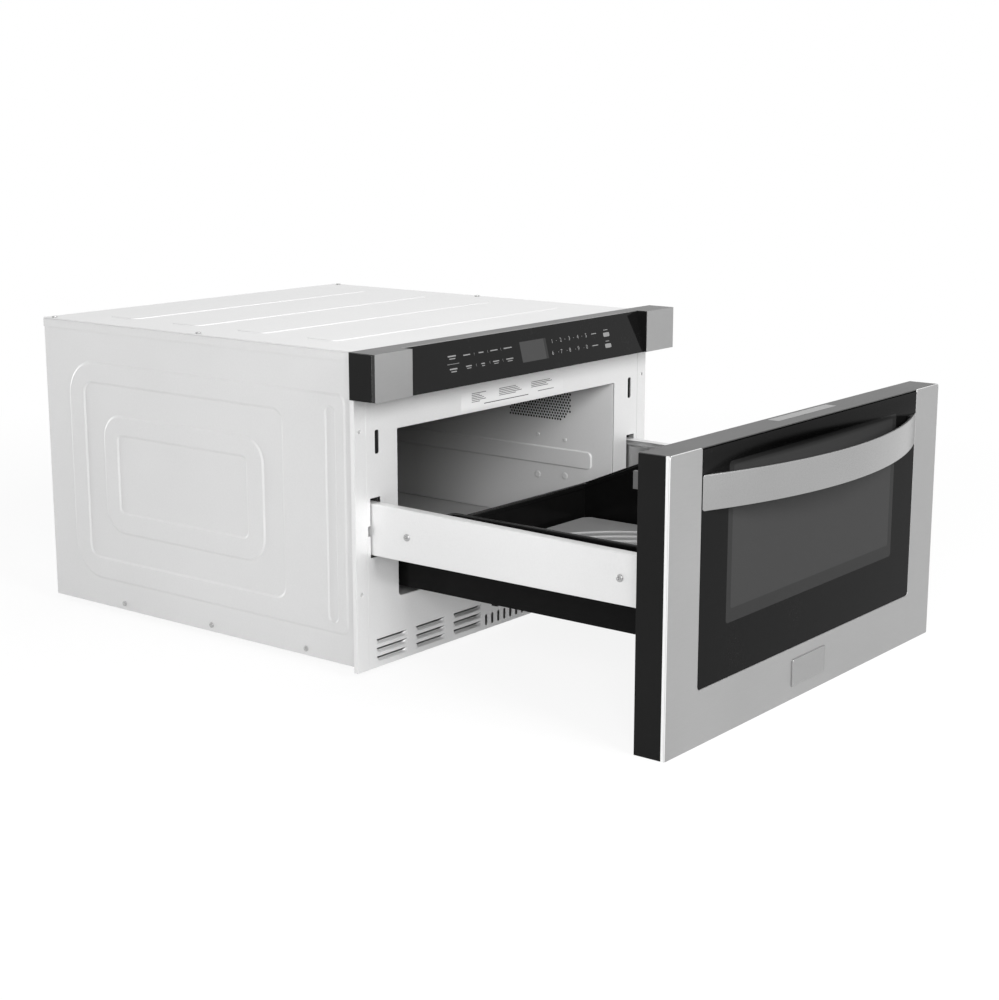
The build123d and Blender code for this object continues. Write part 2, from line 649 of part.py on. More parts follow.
def make_face_plate():
    depth = 3 * FACE_SHEET
    start_y = FACE - FACE_SHEET
    with BuildPart() as face_plate:
        block(-FACE_HALF, FACE_HALF, FACE, BEHIND_FACE, 0, COVER_UNDERSIDE)
        cavity_mid = (CAVITY_FLOOR + CAVITY_CEILING) / 2
        cavity_height = CAVITY_CEILING - CAVITY_FLOOR
        slot_through(0, cavity_mid, 2 * CAVITY_HALF, cavity_height, CAVITY_CORNER, start_y, depth)
        opening_bottom = ARM_BOTTOM - ARM_OPENING_BELOW
        opening_top = ARM_TOP + ARM_OPENING_ABOVE
        opening_outer = ARM_OUTER + ARM_OPENING_SIDE_GAP
        opening_inner = CHASSIS_WEB - ARM_OPENING_INNER_GAP
        for side in (-1, 1):
            slot_through(side * (opening_outer + opening_inner) / 2, (opening_bottom + opening_top) / 2,
                         opening_outer - opening_inner, opening_top - opening_bottom,
                         ARM_OPENING_CORNER, start_y, depth)
            slot_through(side * (opening_outer + SCREW_NOTCH_DEPTH / 2 - 1), ARM_SCREW_Z,
                         SCREW_NOTCH_DEPTH + 2, SCREW_NOTCH_HEIGHT, 1, start_y, depth)
            slot_through(side * HOOK_X, (LATCH_SLOT_TOP + LATCH_SLOT_BOTTOM) / 2, LATCH_SLOT_WIDTH,
                         LATCH_SLOT_TOP - LATCH_SLOT_BOTTOM, LATCH_SLOT_WIDTH / 3, start_y, depth)
            for column in range(LOUVRE_COLUMNS):
                for row in range(LOUVRE_ROWS):
                    slot_x = LOUVRE_GROUP_X + (column - (LOUVRE_COLUMNS - 1) / 2) * LOUVRE_PITCH_X
                    slot_z = LOUVRE_ROW_Z + (row - (LOUVRE_ROWS - 1) / 2) * LOUVRE_PITCH_Z
                    slot_through(side * slot_x, slot_z, LOUVRE_LENGTH, LOUVRE_SLOT, LOUVRE_SLOT / 2 - 0.1,
                                 start_y, depth)
        first = -(UPRIGHT_SLOT_COUNT - 1) * UPRIGHT_SLOT_PITCH / 2
        for number in range(UPRIGHT_SLOT_COUNT):
            slot_through(first + number * UPRIGHT_SLOT_PITCH, UPRIGHT_SLOT_Z, UPRIGHT_SLOT_WIDTH,
                         UPRIGHT_SLOT_HEIGHT, UPRIGHT_SLOT_WIDTH / 2 - 0.1, start_y, depth)
    save(face_plate, "face_plate")


def make_oven_liner():
    """The enamelled box of the oven cavity, open at the front."""
    bottom = CAVITY_FLOOR - SHEET
    with BuildPart() as oven_liner:
        block(-LINER_HALF, LINER_HALF, BEHIND_FACE, LINER_REAR, bottom, LINER_TOP)
        block(-CAVITY_HALF, CAVITY_HALF, BEHIND_FACE, LINER_REAR - SHEET, CAVITY_FLOOR, CAVITY_CEILING,
              mode=Mode.SUBTRACT)
        rod(FEED_HOLE_RADIUS, (0, FACE + FEED_Y, CAVITY_CEILING), (0, 0, 1), 2 * SHEET, mode=Mode.SUBTRACT)
        rod(LAMP_HOLE_RADIUS, (LAMP_X, LAMP_Y, CAVITY_CEILING), (0, 0, 1), 2 * SHEET, mode=Mode.SUBTRACT)
    save(oven_liner, "oven_liner")


def make_rating_label():
    with BuildPart() as rating_label:
        z_half = LABEL_HEIGHT / 2
        block(-LABEL_LENGTH / 2, LABEL_LENGTH / 2, FACE - LABEL_SHEET, FACE,
              LABEL_MIDDLE_Z - z_half, LABEL_MIDDLE_Z + z_half)
    save(rating_label, "blank_rating_label")


# ---------------------------------------------------------------- control panel

def glass_slope(height, behind):
    """Place on the leaning control glass at a height, a given way behind its front face."""
    share = (height - PANEL_BOTTOM) / (PANEL_GLASS_TOP - PANEL_BOTTOM)
    return PANEL_FRONT + GLASS_RECESS_BOTTOM + share * (GLASS_RECESS_TOP - GLASS_RECESS_BOTTOM) + behind


def slope_band(front, rear, bottom, top):
    """Outline of a band parallel to the leaning glass; front and rear are ways behind its face."""
    return [(glass_slope(bottom, front), bottom), (glass_slope(bottom, rear), bottom),
            (glass_slope(top, rear), top), (glass_slope(top, front), top)]


def make_panel_housing():
    """Black housing of the control panel: open at the back, its front set in and leaning for the glass."""
    cap = PANEL_FRONT + TRIM_SHEET
    top = PANEL_GLASS_TOP
    side = PANEL_HALF - TRIM_SHEET
    skin = PANEL_GLASS + PANEL_WALL
    recess = [(PANEL_FRONT, PANEL_BOTTOM), (glass_slope(PANEL_BOTTOM, PANEL_GLASS), PANEL_BOTTOM),
              (glass_slope(top, PANEL_GLASS), top), (PANEL_FRONT, top)]
    hollow_bottom = PANEL_BOTTOM + PANEL_WALL
    hollow_top = top - PANEL_WALL
    hollow = [(FACE, hollow_bottom), (glass_slope(hollow_bottom, skin), hollow_bottom),
              (glass_slope(hollow_top, skin), hollow_top), (FACE, hollow_top)]
    with BuildPart() as housing:
        block(-side, side, cap, FACE, PANEL_BOTTOM, top)
        for hand in (-1, 1):
            block(hand * side, hand * PANEL_HALF, PANEL_FRONT + END_CAP_RETURN, FACE, PANEL_BOTTOM, top)
        prism(-PANEL_GLASS_HALF, PANEL_GLASS_HALF, recess, mode=Mode.SUBTRACT)
        prism(-PANEL_HALF + PANEL_WALL, PANEL_HALF - PANEL_WALL, hollow, mode=Mode.SUBTRACT)
        window = slope_band(0, 2 * skin, DISPLAY_BOTTOM, DISPLAY_TOP)
        prism(DISPLAY_LEFT, DISPLAY_RIGHT, window, mode=Mode.SUBTRACT)
    save(housing, "control_panel_housing")


def make_panel_glass():
    with BuildPart() as control_glass:
        prism(-PANEL_GLASS_HALF, PANEL_GLASS_HALF, slope_band(0, PANEL_GLASS, PANEL_BOTTOM, PANEL_GLASS_TOP))
    save(control_glass, "control_panel_glass")


def make_panel_trim():
    """Brushed steel wrap of the control panel: a strip over the top and a face with a return at each end."""
    with BuildPart() as panel_trim:
        under = PANEL_GLASS_TOP
        face_back = PANEL_FRONT + TRIM_SHEET
        return_back = PANEL_FRONT + END_CAP_RETURN
        block(-PANEL_HALF, PANEL_HALF, PANEL_FRONT, FACE, under, PANEL_TOP)
        block(-PANEL_GLASS_HALF, PANEL_GLASS_HALF, PANEL_FRONT, PANEL_FRONT + GLASS_RECESS_TOP, under, PANEL_TOP,
              mode=Mode.SUBTRACT)
        for side in (-1, 1):
            block(side * PANEL_HALF, side * PANEL_GLASS_HALF, PANEL_FRONT, face_back, PANEL_BOTTOM, under)
            block(side * PANEL_HALF, side * (PANEL_HALF - TRIM_SHEET), face_back, return_back, PANEL_BOTTOM, under)
    save(panel_trim, "control_panel_trim")


def make_display():
    bottom = DISPLAY_BOTTOM + DISPLAY_CLEARANCE
    top = DISPLAY_TOP - DISPLAY_CLEARANCE
    outline = [(glass_slope(bottom, PANEL_GLASS), bottom), (BOARD_FRONT, bottom), (BOARD_FRONT, top),
               (glass_slope(top, PANEL_GLASS), top)]
    with BuildPart() as display:
        prism(DISPLAY_LEFT + DISPLAY_CLEARANCE, DISPLAY_RIGHT - DISPLAY_CLEARANCE, outline)
    save(display, "display_module")


def make_control_board():
    middle = (PANEL_BOTTOM + PANEL_TOP) / 2
    with BuildPart() as control_board:
        block(-BOARD_LENGTH / 2, BOARD_LENGTH / 2, BOARD_FRONT, BOARD_FRONT + BOARD_SHEET,
              middle - BOARD_HEIGHT / 2, middle + BOARD_HEIGHT / 2)
        chips = [(-130, 14, 10), (-90, 10, 8), (70, 16, 12), (120, 12, 12)]
        for chip_x, chip_width, chip_height in chips:
            block(chip_x - chip_width / 2, chip_x + chip_width / 2, BOARD_FRONT + BOARD_SHEET,
                  BOARD_FRONT + 2.5 * BOARD_SHEET, middle - chip_height / 2, middle + chip_height / 2)
    save(control_board, "control_board")


# ---------------------------------------------------------------- drawer front

SHELL_HALF = DOOR_HALF - DOOR_STEEL
SHELL_BOTTOM = DOOR_BOTTOM + DOOR_STEEL
SHELL_TOP = DOOR_TOP - TRIM_SHEET
GLASS_BACK = DOOR_FRONT + DOOR_GLASS
SKIN_BACK = GLASS_BACK + DOOR_WALL
INNER_PANEL_FRONT = DOOR_REAR - INNER_PANEL_SHEET
HANDLE_MIDDLE_Z = (HANDLE_BOTTOM + HANDLE_TOP) / 2
HANDLE_SEATS = [(side * HANDLE_SCREW_X, HANDLE_MIDDLE_Z + rise * HANDLE_SCREW_SPACING / 2)
                for side in (-1, 1) for rise in (-1, 1)]
PAN_SCREW_SEATS = [(side * PAN_SCREW_X, seat_z) for side in (-1, 1) for seat_z in (PAN_SCREW_LOW, PAN_SCREW_HIGH)]
ARM_END_SEATS = [(side * ARM_END_SCREW_X, seat_z) for side in (-1, 1)
                 for seat_z in (ARM_BOTTOM + ARM_END_SCREW_INSET, ARM_TOP - ARM_END_SCREW_INSET)]


def make_door_shell():
    with BuildPart() as shell:
        block(-SHELL_HALF, SHELL_HALF, DOOR_FRONT + DOOR_STEEL, DOOR_REAR, SHELL_BOTTOM, SHELL_TOP)
        block(-DOOR_HALF, DOOR_HALF, DOOR_FRONT + DOOR_STEEL_RETURN, DOOR_REAR, DOOR_BOTTOM, SHELL_TOP)
        block(-GLASS_HALF, GLASS_HALF, DOOR_FRONT + DOOR_STEEL, GLASS_BACK, GLASS_BOTTOM, SHELL_TOP,
              mode=Mode.SUBTRACT)
        inner_half = SHELL_HALF - DOOR_WALL
        block(-inner_half, inner_half, SKIN_BACK, DOOR_REAR, SHELL_BOTTOM + DOOR_WALL, SHELL_TOP - DOOR_WALL,
              mode=Mode.SUBTRACT)
        pocket = WINDOW_HALF + WINDOW_LAP
        tube = pocket + DOOR_WALL
        edge = WINDOW_LAP + DOOR_WALL
        block(-tube, tube, SKIN_BACK, INNER_PANEL_FRONT, WINDOW_BOTTOM - edge, WINDOW_TOP + edge)
        block(-WINDOW_HALF, WINDOW_HALF, GLASS_BACK, INNER_PANEL_FRONT, WINDOW_BOTTOM, WINDOW_TOP,
              mode=Mode.SUBTRACT)
        block(-pocket, pocket, INNER_PANEL_FRONT - INNER_GLASS, INNER_PANEL_FRONT, WINDOW_BOTTOM - WINDOW_LAP,
              WINDOW_TOP + WINDOW_LAP, mode=Mode.SUBTRACT)
        for seat_x, seat_z in HANDLE_SEATS:
            rod(HANDLE_SCREW_RADIUS + SCREW_HOLE_CLEARANCE, (seat_x, GLASS_BACK, seat_z), (0, 1, 0), DOOR_WALL,
                mode=Mode.SUBTRACT)
    save(shell, "drawer_front_shell")


def make_door_glass():
    with BuildPart() as door_glass:
        block(-GLASS_HALF, GLASS_HALF, DOOR_FRONT, GLASS_BACK, GLASS_BOTTOM, SHELL_TOP)
        for seat_x, seat_z in HANDLE_SEATS:
            rod(HANDLE_SCREW_RADIUS + SCREW_HOLE_CLEARANCE, (seat_x, DOOR_FRONT, seat_z), (0, 1, 0), DOOR_GLASS,
                mode=Mode.SUBTRACT)
    save(door_glass, "drawer_front_glass")


def make_window_screen():
    with BuildPart() as screen:
        block(-WINDOW_HALF, WINDOW_HALF, GLASS_BACK, GLASS_BACK + SCREEN_SHEET, WINDOW_BOTTOM, WINDOW_TOP)
    save(screen, "window_screen")


def make_inner_glass():
    half = WINDOW_HALF + WINDOW_LAP
    with BuildPart() as inner_glass:
        block(-half, half, INNER_PANEL_FRONT - INNER_GLASS, INNER_PANEL_FRONT, WINDOW_BOTTOM - WINDOW_LAP,
              WINDOW_TOP + WINDOW_LAP)
    save(inner_glass, "inner_window_glass")


def make_inner_panel():
    half = SHELL_HALF - DOOR_WALL
    with BuildPart() as inner_panel:
        block(-half, half, INNER_PANEL_FRONT, DOOR_REAR, SHELL_BOTTOM + DOOR_WALL, SHELL_TOP - DOOR_WALL)
        block(-WINDOW_HALF, WINDOW_HALF, INNER_PANEL_FRONT, DOOR_REAR, WINDOW_BOTTOM, WINDOW_TOP,
              mode=Mode.SUBTRACT)
        hook_half = HOOK_THICKNESS / 2 + HOOK_SLOT_CLEARANCE
        for side in (-1, 1):
            block(side * (HOOK_X - hook_half), side * (HOOK_X + hook_half), INNER_PANEL_FRONT, DOOR_REAR,
                  HOOK_BOTTOM - HOOK_SLOT_CLEARANCE, HOOK_TOP + HOOK_SLOT_CLEARANCE, mode=Mode.SUBTRACT)
        for seat_x, seat_z in PAN_SCREW_SEATS + ARM_END_SEATS:
            rod(SCREW_HOLE_RADIUS, (seat_x, INNER_PANEL_FRONT, seat_z), (0, 1, 0), INNER_PANEL_SHEET,
                mode=Mode.SUBTRACT)
    save(inner_panel, "drawer_front_inner_panel")


def make_steel_frame():
    with BuildPart() as frame:
        face_back = DOOR_FRONT + DOOR_STEEL
        return_back = DOOR_FRONT + DOOR_STEEL_RETURN
        block(-DOOR_HALF, DOOR_HALF, DOOR_FRONT, face_back, DOOR_BOTTOM, GLASS_BOTTOM)
        block(-DOOR_HALF, DOOR_HALF, DOOR_FRONT, return_back, DOOR_BOTTOM, SHELL_BOTTOM)
        for side in (-1, 1):
            block(side * GLASS_HALF, side * DOOR_HALF, DOOR_FRONT, face_back, DOOR_BOTTOM, SHELL_TOP)
            block(side * SHELL_HALF, side * DOOR_HALF, DOOR_FRONT, return_back, DOOR_BOTTOM, SHELL_TOP)
    save(frame, "drawer_front_steel_frame")


def make_door_top_trim():
    with BuildPart() as top_trim:
        block(-DOOR_HALF, DOOR_HALF, DOOR_FRONT, DOOR_REAR, SHELL_TOP, DOOR_TOP)
    save(top_trim, "drawer_front_top_trim")


def make_door_top_label():
    half = TOP_LABEL_WIDTH / 2
    middle = DOOR_REAR - TOP_LABEL_BACK
    with BuildPart() as top_label:
        block(TOP_LABEL_X - TOP_LABEL_LENGTH / 2, TOP_LABEL_X + TOP_LABEL_LENGTH / 2, middle - half, middle + half,
              DOOR_TOP, DOOR_TOP + LABEL_SHEET)
    save(top_label, "blank_top_label")


def make_badge():
    half = BADGE_HEIGHT / 2
    with BuildPart() as badge:
        block(BADGE_X - BADGE_WIDTH / 2, BADGE_X + BADGE_WIDTH / 2, DOOR_FRONT - BADGE_SHEET, DOOR_FRONT,
              BADGE_MIDDLE_Z - half, BADGE_MIDDLE_Z + half)
    save(badge, "blank_badge")


def make_handle():
    """A bowed strap: two arcs about one centre, solid at both ends where it meets the front."""
    half = HANDLE_HALF
    reach = HANDLE_BOW + HANDLE_STRAP
    radius = (half**2 + reach**2) / (2 * reach)
    centre_y = DOOR_FRONT + radius - reach
    inner_radius = radius - HANDLE_STRAP
    foot_x = half - HANDLE_FOOT_LENGTH
    foot_y = centre_y - math.sqrt(inner_radius**2 - foot_x**2)
    with BuildPart() as handle:
        with BuildSketch(Plane.XY.offset(HANDLE_BOTTOM)):
            with BuildLine():
                ThreePointArc((-half, DOOR_FRONT), (0, DOOR_FRONT - reach), (half, DOOR_FRONT))
                Line((half, DOOR_FRONT), (-half, DOOR_FRONT))
            make_face()
            with BuildLine():
                ThreePointArc((-foot_x, foot_y), (0, centre_y - inner_radius), (foot_x, foot_y))
                Line((foot_x, foot_y), (foot_x, DOOR_FRONT))
                Line((foot_x, DOOR_FRONT), (-foot_x, DOOR_FRONT))
                Line((-foot_x, DOOR_FRONT), (-foot_x, foot_y))
            make_face(mode=Mode.SUBTRACT)
        extrude(amount=HANDLE_TOP - HANDLE_BOTTOM)
        long_arcs = handle.edges().filter_by(GeomType.CIRCLE).sort_by(SortBy.LENGTH)[-2:]
        chamfer(long_arcs, length=HANDLE_EDGE)
        for seat_x, seat_z in HANDLE_SEATS:
            rod(HANDLE_SCREW_RADIUS + SCREW_HOLE_CLEARANCE, (seat_x, DOOR_FRONT, seat_z), (0, -1, 0),
                HANDLE_SCREW_DEPTH, mode=Mode.SUBTRACT)
    save(handle, "handle_bar")


def make_latch_hooks():
    """Two hooks that reach back from the front, each with a base inside the inner panel."""
    with BuildPart() as hooks:
        for side in (-1, 1):
            tip = DOOR_REAR + HOOK_REACH
            nose = tip - HOOK_NOSE_LENGTH
            arm_bottom = HOOK_BOTTOM + HOOK_NOSE_DROP
            outer = side * (HOOK_X + HOOK_THICKNESS / 2)
            inner = side * (HOOK_X - HOOK_THICKNESS / 2)
            block(inner, outer, INNER_PANEL_FRONT, tip, arm_bottom, HOOK_TOP)
            block(inner, outer, INNER_PANEL_FRONT, DOOR_REAR + HOOK_NOSE_DROP, HOOK_BOTTOM, HOOK_TOP)
            block(inner, outer, nose, tip, HOOK_BOTTOM, HOOK_TOP)
            base_half = HOOK_BASE_WIDTH / 2
            block(side * (HOOK_X - base_half), side * (HOOK_X + base_half), INNER_PANEL_FRONT - HOOK_BASE_SHEET,
                  INNER_PANEL_FRONT, HOOK_BOTTOM - HOOK_NOSE_DROP, HOOK_TOP + HOOK_NOSE_DROP)
    save(hooks, "latch_hooks")


# ---------------------------------------------------------------- pan, tray, arms

PAN_REAR_Y = FACE + PAN_REAR
SLOPE_Y = FACE - PAN_SLOPE_END


def make_pan():
    wall = [(DOOR_REAR, PAN_BOTTOM), (DOOR_REAR, PAN_SIDE_TOP), (SLOPE_Y, PAN_SIDE_TOP),
            (PAN_REAR_Y, PAN_REAR_TOP), (PAN_REAR_Y, PAN_BOTTOM)]
    rim = [(DOOR_REAR, PAN_SIDE_TOP - PAN_RIM_HEIGHT), (DOOR_REAR, PAN_SIDE_TOP), (SLOPE_Y, PAN_SIDE_TOP),
           (PAN_REAR_Y, PAN_REAR_TOP), (PAN_REAR_Y, PAN_REAR_TOP - PAN_RIM_HEIGHT),
           (SLOPE_Y, PAN_SIDE_TOP - PAN_RIM_HEIGHT)]
    with BuildPart() as pan:
        block(-PAN_HALF, PAN_HALF, DOOR_REAR, PAN_REAR_Y, PAN_BOTTOM, TRAY_FLOOR)
        block(-PAN_HALF, PAN_HALF, PAN_REAR_Y - PAN_SHEET, PAN_REAR_Y, PAN_BOTTOM, PAN_REAR_TOP)
        block(-PAN_HALF, PAN_HALF, PAN_REAR_Y - PAN_RIM, PAN_REAR_Y, PAN_REAR_TOP - PAN_RIM_HEIGHT, PAN_REAR_TOP)
        flange_back = DOOR_REAR + PAN_SHEET
        block(-PAN_HALF, PAN_HALF, DOOR_REAR, flange_back, PAN_BOTTOM, PAN_BOTTOM + PAN_FLANGE)
        for side in (-1, 1):
            prism(side * PAN_HALF, side * (PAN_HALF - PAN_SHEET), wall)
            prism(side * PAN_HALF, side * (PAN_HALF - PAN_RIM), rim)
            block(side * PAN_HALF, side * (PAN_HALF - PAN_FLANGE), DOOR_REAR, flange_back,
                  PAN_BOTTOM, PAN_SIDE_TOP)
            guide_y = FACE - PAN_GUIDE_Y
            guide_x = PAN_HALF - PAN_GUIDE_INSET
            block(side * (guide_x - PAN_GUIDE_WIDTH / 2), side * (guide_x + PAN_GUIDE_WIDTH / 2),
                  guide_y - PAN_GUIDE_LENGTH / 2, guide_y + PAN_GUIDE_LENGTH / 2,
                  PAN_BOTTOM - PAN_GUIDE_DEPTH, PAN_BOTTOM)
        for seat_x, seat_z in PAN_SCREW_SEATS:
            rod(SCREW_HOLE_RADIUS, (seat_x, DOOR_REAR, seat_z), (0, 1, 0), PAN_SHEET, mode=Mode.SUBTRACT)
    save(pan, "drawer_pan")


def make_tray():
    """The flat cooking tray, with rings raised on it round the middle of the cavity."""
    front = DOOR_REAR + PAN_SHEET + TRAY_MARGIN
    rear = PAN_REAR_Y - PAN_SHEET - TRAY_MARGIN
    half = PAN_HALF - TRAY_MARGIN
    middle = (front + rear) / 2
    rib_radius = min(half, (rear - front) / 2) - TRAY_RIB_EDGE
    with BuildPart() as tray:
        with BuildSketch(Plane.XY.offset(TRAY_FLOOR)):
            with Locations((0, middle)):
                RectangleRounded(2 * half, rear - front, TRAY_CORNER)
        extrude(amount=TRAY_THICKNESS)
        with BuildSketch(Plane.XY.offset(TRAY_FLOOR + TRAY_THICKNESS)):
            for number in range(TRAY_RIB_COUNT):
                radius = rib_radius - number * TRAY_RIB_PITCH
                with Locations((0, middle)):
                    Circle(radius)
                with Locations((0, middle)):
                    Circle(radius - TRAY_RIB_WIDTH, mode=Mode.SUBTRACT)
        extrude(amount=TRAY_RIB_HEIGHT)
    save(tray, "cooking_tray")


def make_arm(side, label):
    """A channel open to the inside, closed by an end plate where it meets the drawer front."""
    rear = FACE + ARM_REAR
    web = side * ARM_OUTER
    edge = side * ARM_FLANGE_EDGE
    with BuildPart() as arm:
        block(web, side * ARM_INNER, DOOR_REAR, rear, ARM_BOTTOM, ARM_TOP)
        block(web, edge, DOOR_REAR, rear, ARM_BOTTOM, ARM_BOTTOM + ARM_SHEET)
        block(web, edge, DOOR_REAR, rear, ARM_TOP - ARM_SHEET, ARM_TOP)
        block(web, edge, DOOR_REAR, DOOR_REAR + ARM_SHEET, ARM_BOTTOM, ARM_TOP)
        for from_face in (ARM_SCREW_FRONT, ARM_SCREW_REAR):
            start = (web, FACE - from_face, ARM_SCREW_Z)
            rod(ARM_SCREW_SHANK_RADIUS + SCREW_HOLE_CLEARANCE, start, (-side, 0, 0), ARM_SHEET, mode=Mode.SUBTRACT)
        for seat_x, seat_z in ARM_END_SEATS:
            rod(SCREW_HOLE_RADIUS, (seat_x, DOOR_REAR, seat_z), (0, 1, 0), ARM_SHEET, mode=Mode.SUBTRACT)
    save(arm, label)


def make_arm_screws():
    with BuildPart() as arm_screws:
        for side in (-1, 1):
            for from_face in (ARM_SCREW_FRONT, ARM_SCREW_REAR):
                seat = (side * ARM_OUTER, FACE - from_face, ARM_SCREW_Z)
                rod(ARM_SCREW_HEAD_RADIUS, seat, (side, 0, 0), ARM_SCREW_HEAD_HEIGHT)
                rod(ARM_SCREW_SHANK_RADIUS, seat, (-side, 0, 0), ARM_SCREW_REACH)
    save(arm_screws, "arm_screws")


def make_front_screws():
    """Screws that hold the handle, the pan and the arms to the drawer front."""
    with BuildPart() as front_screws:
        for seat_x, seat_z in HANDLE_SEATS:
            rod(HANDLE_SCREW_HEAD_RADIUS, (seat_x, SKIN_BACK, seat_z), (0, 1, 0), HANDLE_SCREW_HEAD_HEIGHT)
            grip = DOOR_WALL + DOOR_GLASS + HANDLE_SCREW_DEPTH
            rod(HANDLE_SCREW_RADIUS, (seat_x, SKIN_BACK, seat_z), (0, -1, 0), grip - SCREW_HOLE_CLEARANCE)
        for seat_x, seat_z in PAN_SCREW_SEATS:
            seat = (seat_x, DOOR_REAR + PAN_SHEET, seat_z)
            rod(SCREW_HEAD_RADIUS, seat, (0, 1, 0), SCREW_HEAD_HEIGHT)
            rod(SCREW_SHANK_RADIUS, seat, (0, -1, 0), PAN_SHEET + INNER_PANEL_SHEET + SHEET)
        for seat_x, seat_z in ARM_END_SEATS:
            seat = (seat_x, INNER_PANEL_FRONT, seat_z)
            rod(SCREW_HEAD_RADIUS, seat, (0, -1, 0), SCREW_HEAD_HEIGHT)
            rod(SCREW_SHANK_RADIUS, seat, (0, 1, 0), ARM_SHEET + INNER_PANEL_SHEET + SHEET)
    save(front_screws, "drawer_front_screws")


# ---------------------------------------------------------------- telescopic slides

def rail(side, web_x, open_x, height, y_from, y_to):
    """One channel of a slide: the web at web_x, its two flanges reaching to open_x."""
    inward = SLIDE_SHEET if open_x > web_x else -SLIDE_SHEET
    half = height / 2
    block(side * web_x, side * (web_x + inward), y_from, y_to, SLIDE_MID_Z - half, SLIDE_MID_Z + half)
    for rise in (-1, 1):
        edge = SLIDE_MID_Z + rise * half
        block(side * web_x, side * open_x, y_from, y_to, edge, edge - rise * SLIDE_SHEET)


MID_RAIL_HEIGHT = SLIDE_HEIGHT - 2 * (SLIDE_SHEET + SLIDE_PLAY)
DRAWER_RAIL_HEIGHT = MID_RAIL_HEIGHT - 2 * (SLIDE_SHEET + SLIDE_PLAY)
MID_WEB = CHASSIS_WEB + SLIDE_SHEET + SLIDE_PLAY
MID_EDGE = ARM_INNER - SLIDE_SHEET - SLIDE_PLAY
DRAWER_RAIL_EDGE = MID_WEB + SLIDE_SHEET + SLIDE_PLAY
SLIDE_START = FACE + SLIDE_FRONT


def make_cabinet_rails():
    with BuildPart() as cabinet_rails:
        for side in (-1, 1):
            rail(side, CHASSIS_WEB, MID_EDGE, SLIDE_HEIGHT, SLIDE_START, SLIDE_START + SLIDE_LENGTH)
    save(cabinet_rails, "cabinet_rails")


def make_mid_rail(side, label):
    start = SLIDE_START + DRAWER_REST / 2
    with BuildPart() as mid_rail:
        rail(side, MID_WEB, MID_EDGE, MID_RAIL_HEIGHT, start, start + SLIDE_LENGTH)
    save(mid_rail, label)


def make_drawer_rails():
    start = SLIDE_START + DRAWER_REST
    with BuildPart() as drawer_rails:
        for side in (-1, 1):
            rail(side, ARM_INNER, DRAWER_RAIL_EDGE, DRAWER_RAIL_HEIGHT, start, start + SLIDE_LENGTH)
            for from_face in (ARM_SCREW_FRONT, ARM_SCREW_REAR):
                hole_start = (side * ARM_INNER, FACE - from_face, ARM_SCREW_Z)
                rod(ARM_SCREW_SHANK_RADIUS + SCREW_HOLE_CLEARANCE, hole_start, (-side, 0, 0), SLIDE_SHEET,
                    mode=Mode.SUBTRACT)
    save(drawer_rails, "drawer_rails")


def make_rail_brackets():
    """Z-shaped plates between the liner and the fixed rails."""
    front = FACE + RAIL_BRACKET_FRONT
    rear = FACE + RAIL_BRACKET_REAR
    inner = CHASSIS_WEB - RAIL_BRACKET_SHEET
    shelf = RAIL_BRACKET_TOP - RAIL_BRACKET_SHEET
    with BuildPart() as brackets:
        for side in (-1, 1):
            block(side * inner, side * CHASSIS_WEB, front, rear, SLIDE_MID_Z - SLIDE_HEIGHT / 2, RAIL_BRACKET_TOP)
            block(side * LINER_HALF, side * CHASSIS_WEB, front, rear, shelf, RAIL_BRACKET_TOP)
            block(side * LINER_HALF, side * (LINER_HALF + RAIL_BRACKET_SHEET), front, rear, shelf,
                  RAIL_BRACKET_TOP + RAIL_BRACKET_LIP)
    save(brackets, "rail_brackets")


# ---------------------------------------------------------------- drive

TOOTH_HALF = TOOTH_SHARE * TOOTH_PITCH / 2
TIP_HEIGHT = ADDENDUM * GEAR_MODULE
ROOT_DEPTH = DEDENDUM * GEAR_MODULE
FLANK = math.tan(math.radians(PRESSURE_ANGLE))
PINION_POINT = (-PINION_X, FACE + PINION_Y)


def make_rack():
    """A straight rack on the left arm; one tooth stands opposite the pinion when the drawer is open."""
    start = FACE + PINION_Y + DRAWER_REST - RACK_OVERRUN
    end = FACE + PINION_Y + RACK_OVERRUN
    root = -(PITCH_LINE + ROOT_DEPTH)
    tip = -(PITCH_LINE - TIP_HEIGHT)
    root_half = TOOTH_HALF + ROOT_DEPTH * FLANK
    tip_half = TOOTH_HALF - TIP_HEIGHT * FLANK
    first = math.ceil((start + root_half - PINION_POINT[1]) / TOOTH_PITCH)
    last = math.floor((end - root_half - PINION_POINT[1]) / TOOTH_PITCH)
    outline = [(-ARM_INNER, end), (-ARM_INNER, start), (root, start)]
    for number in range(first, last + 1):
        middle = PINION_POINT[1] + number * TOOTH_PITCH
        outline += [(root, middle - root_half), (tip, middle - tip_half), (tip, middle + tip_half),
                    (root, middle + root_half)]
    outline.append((root, end))
    with BuildPart() as rack:
        with BuildSketch(Plane.XY.offset(RACK_BOTTOM)):
            with BuildLine():
                Polyline(*outline, close=True)
            make_face()
        extrude(amount=RACK_HEIGHT)
    save(rack, "drive_rack")


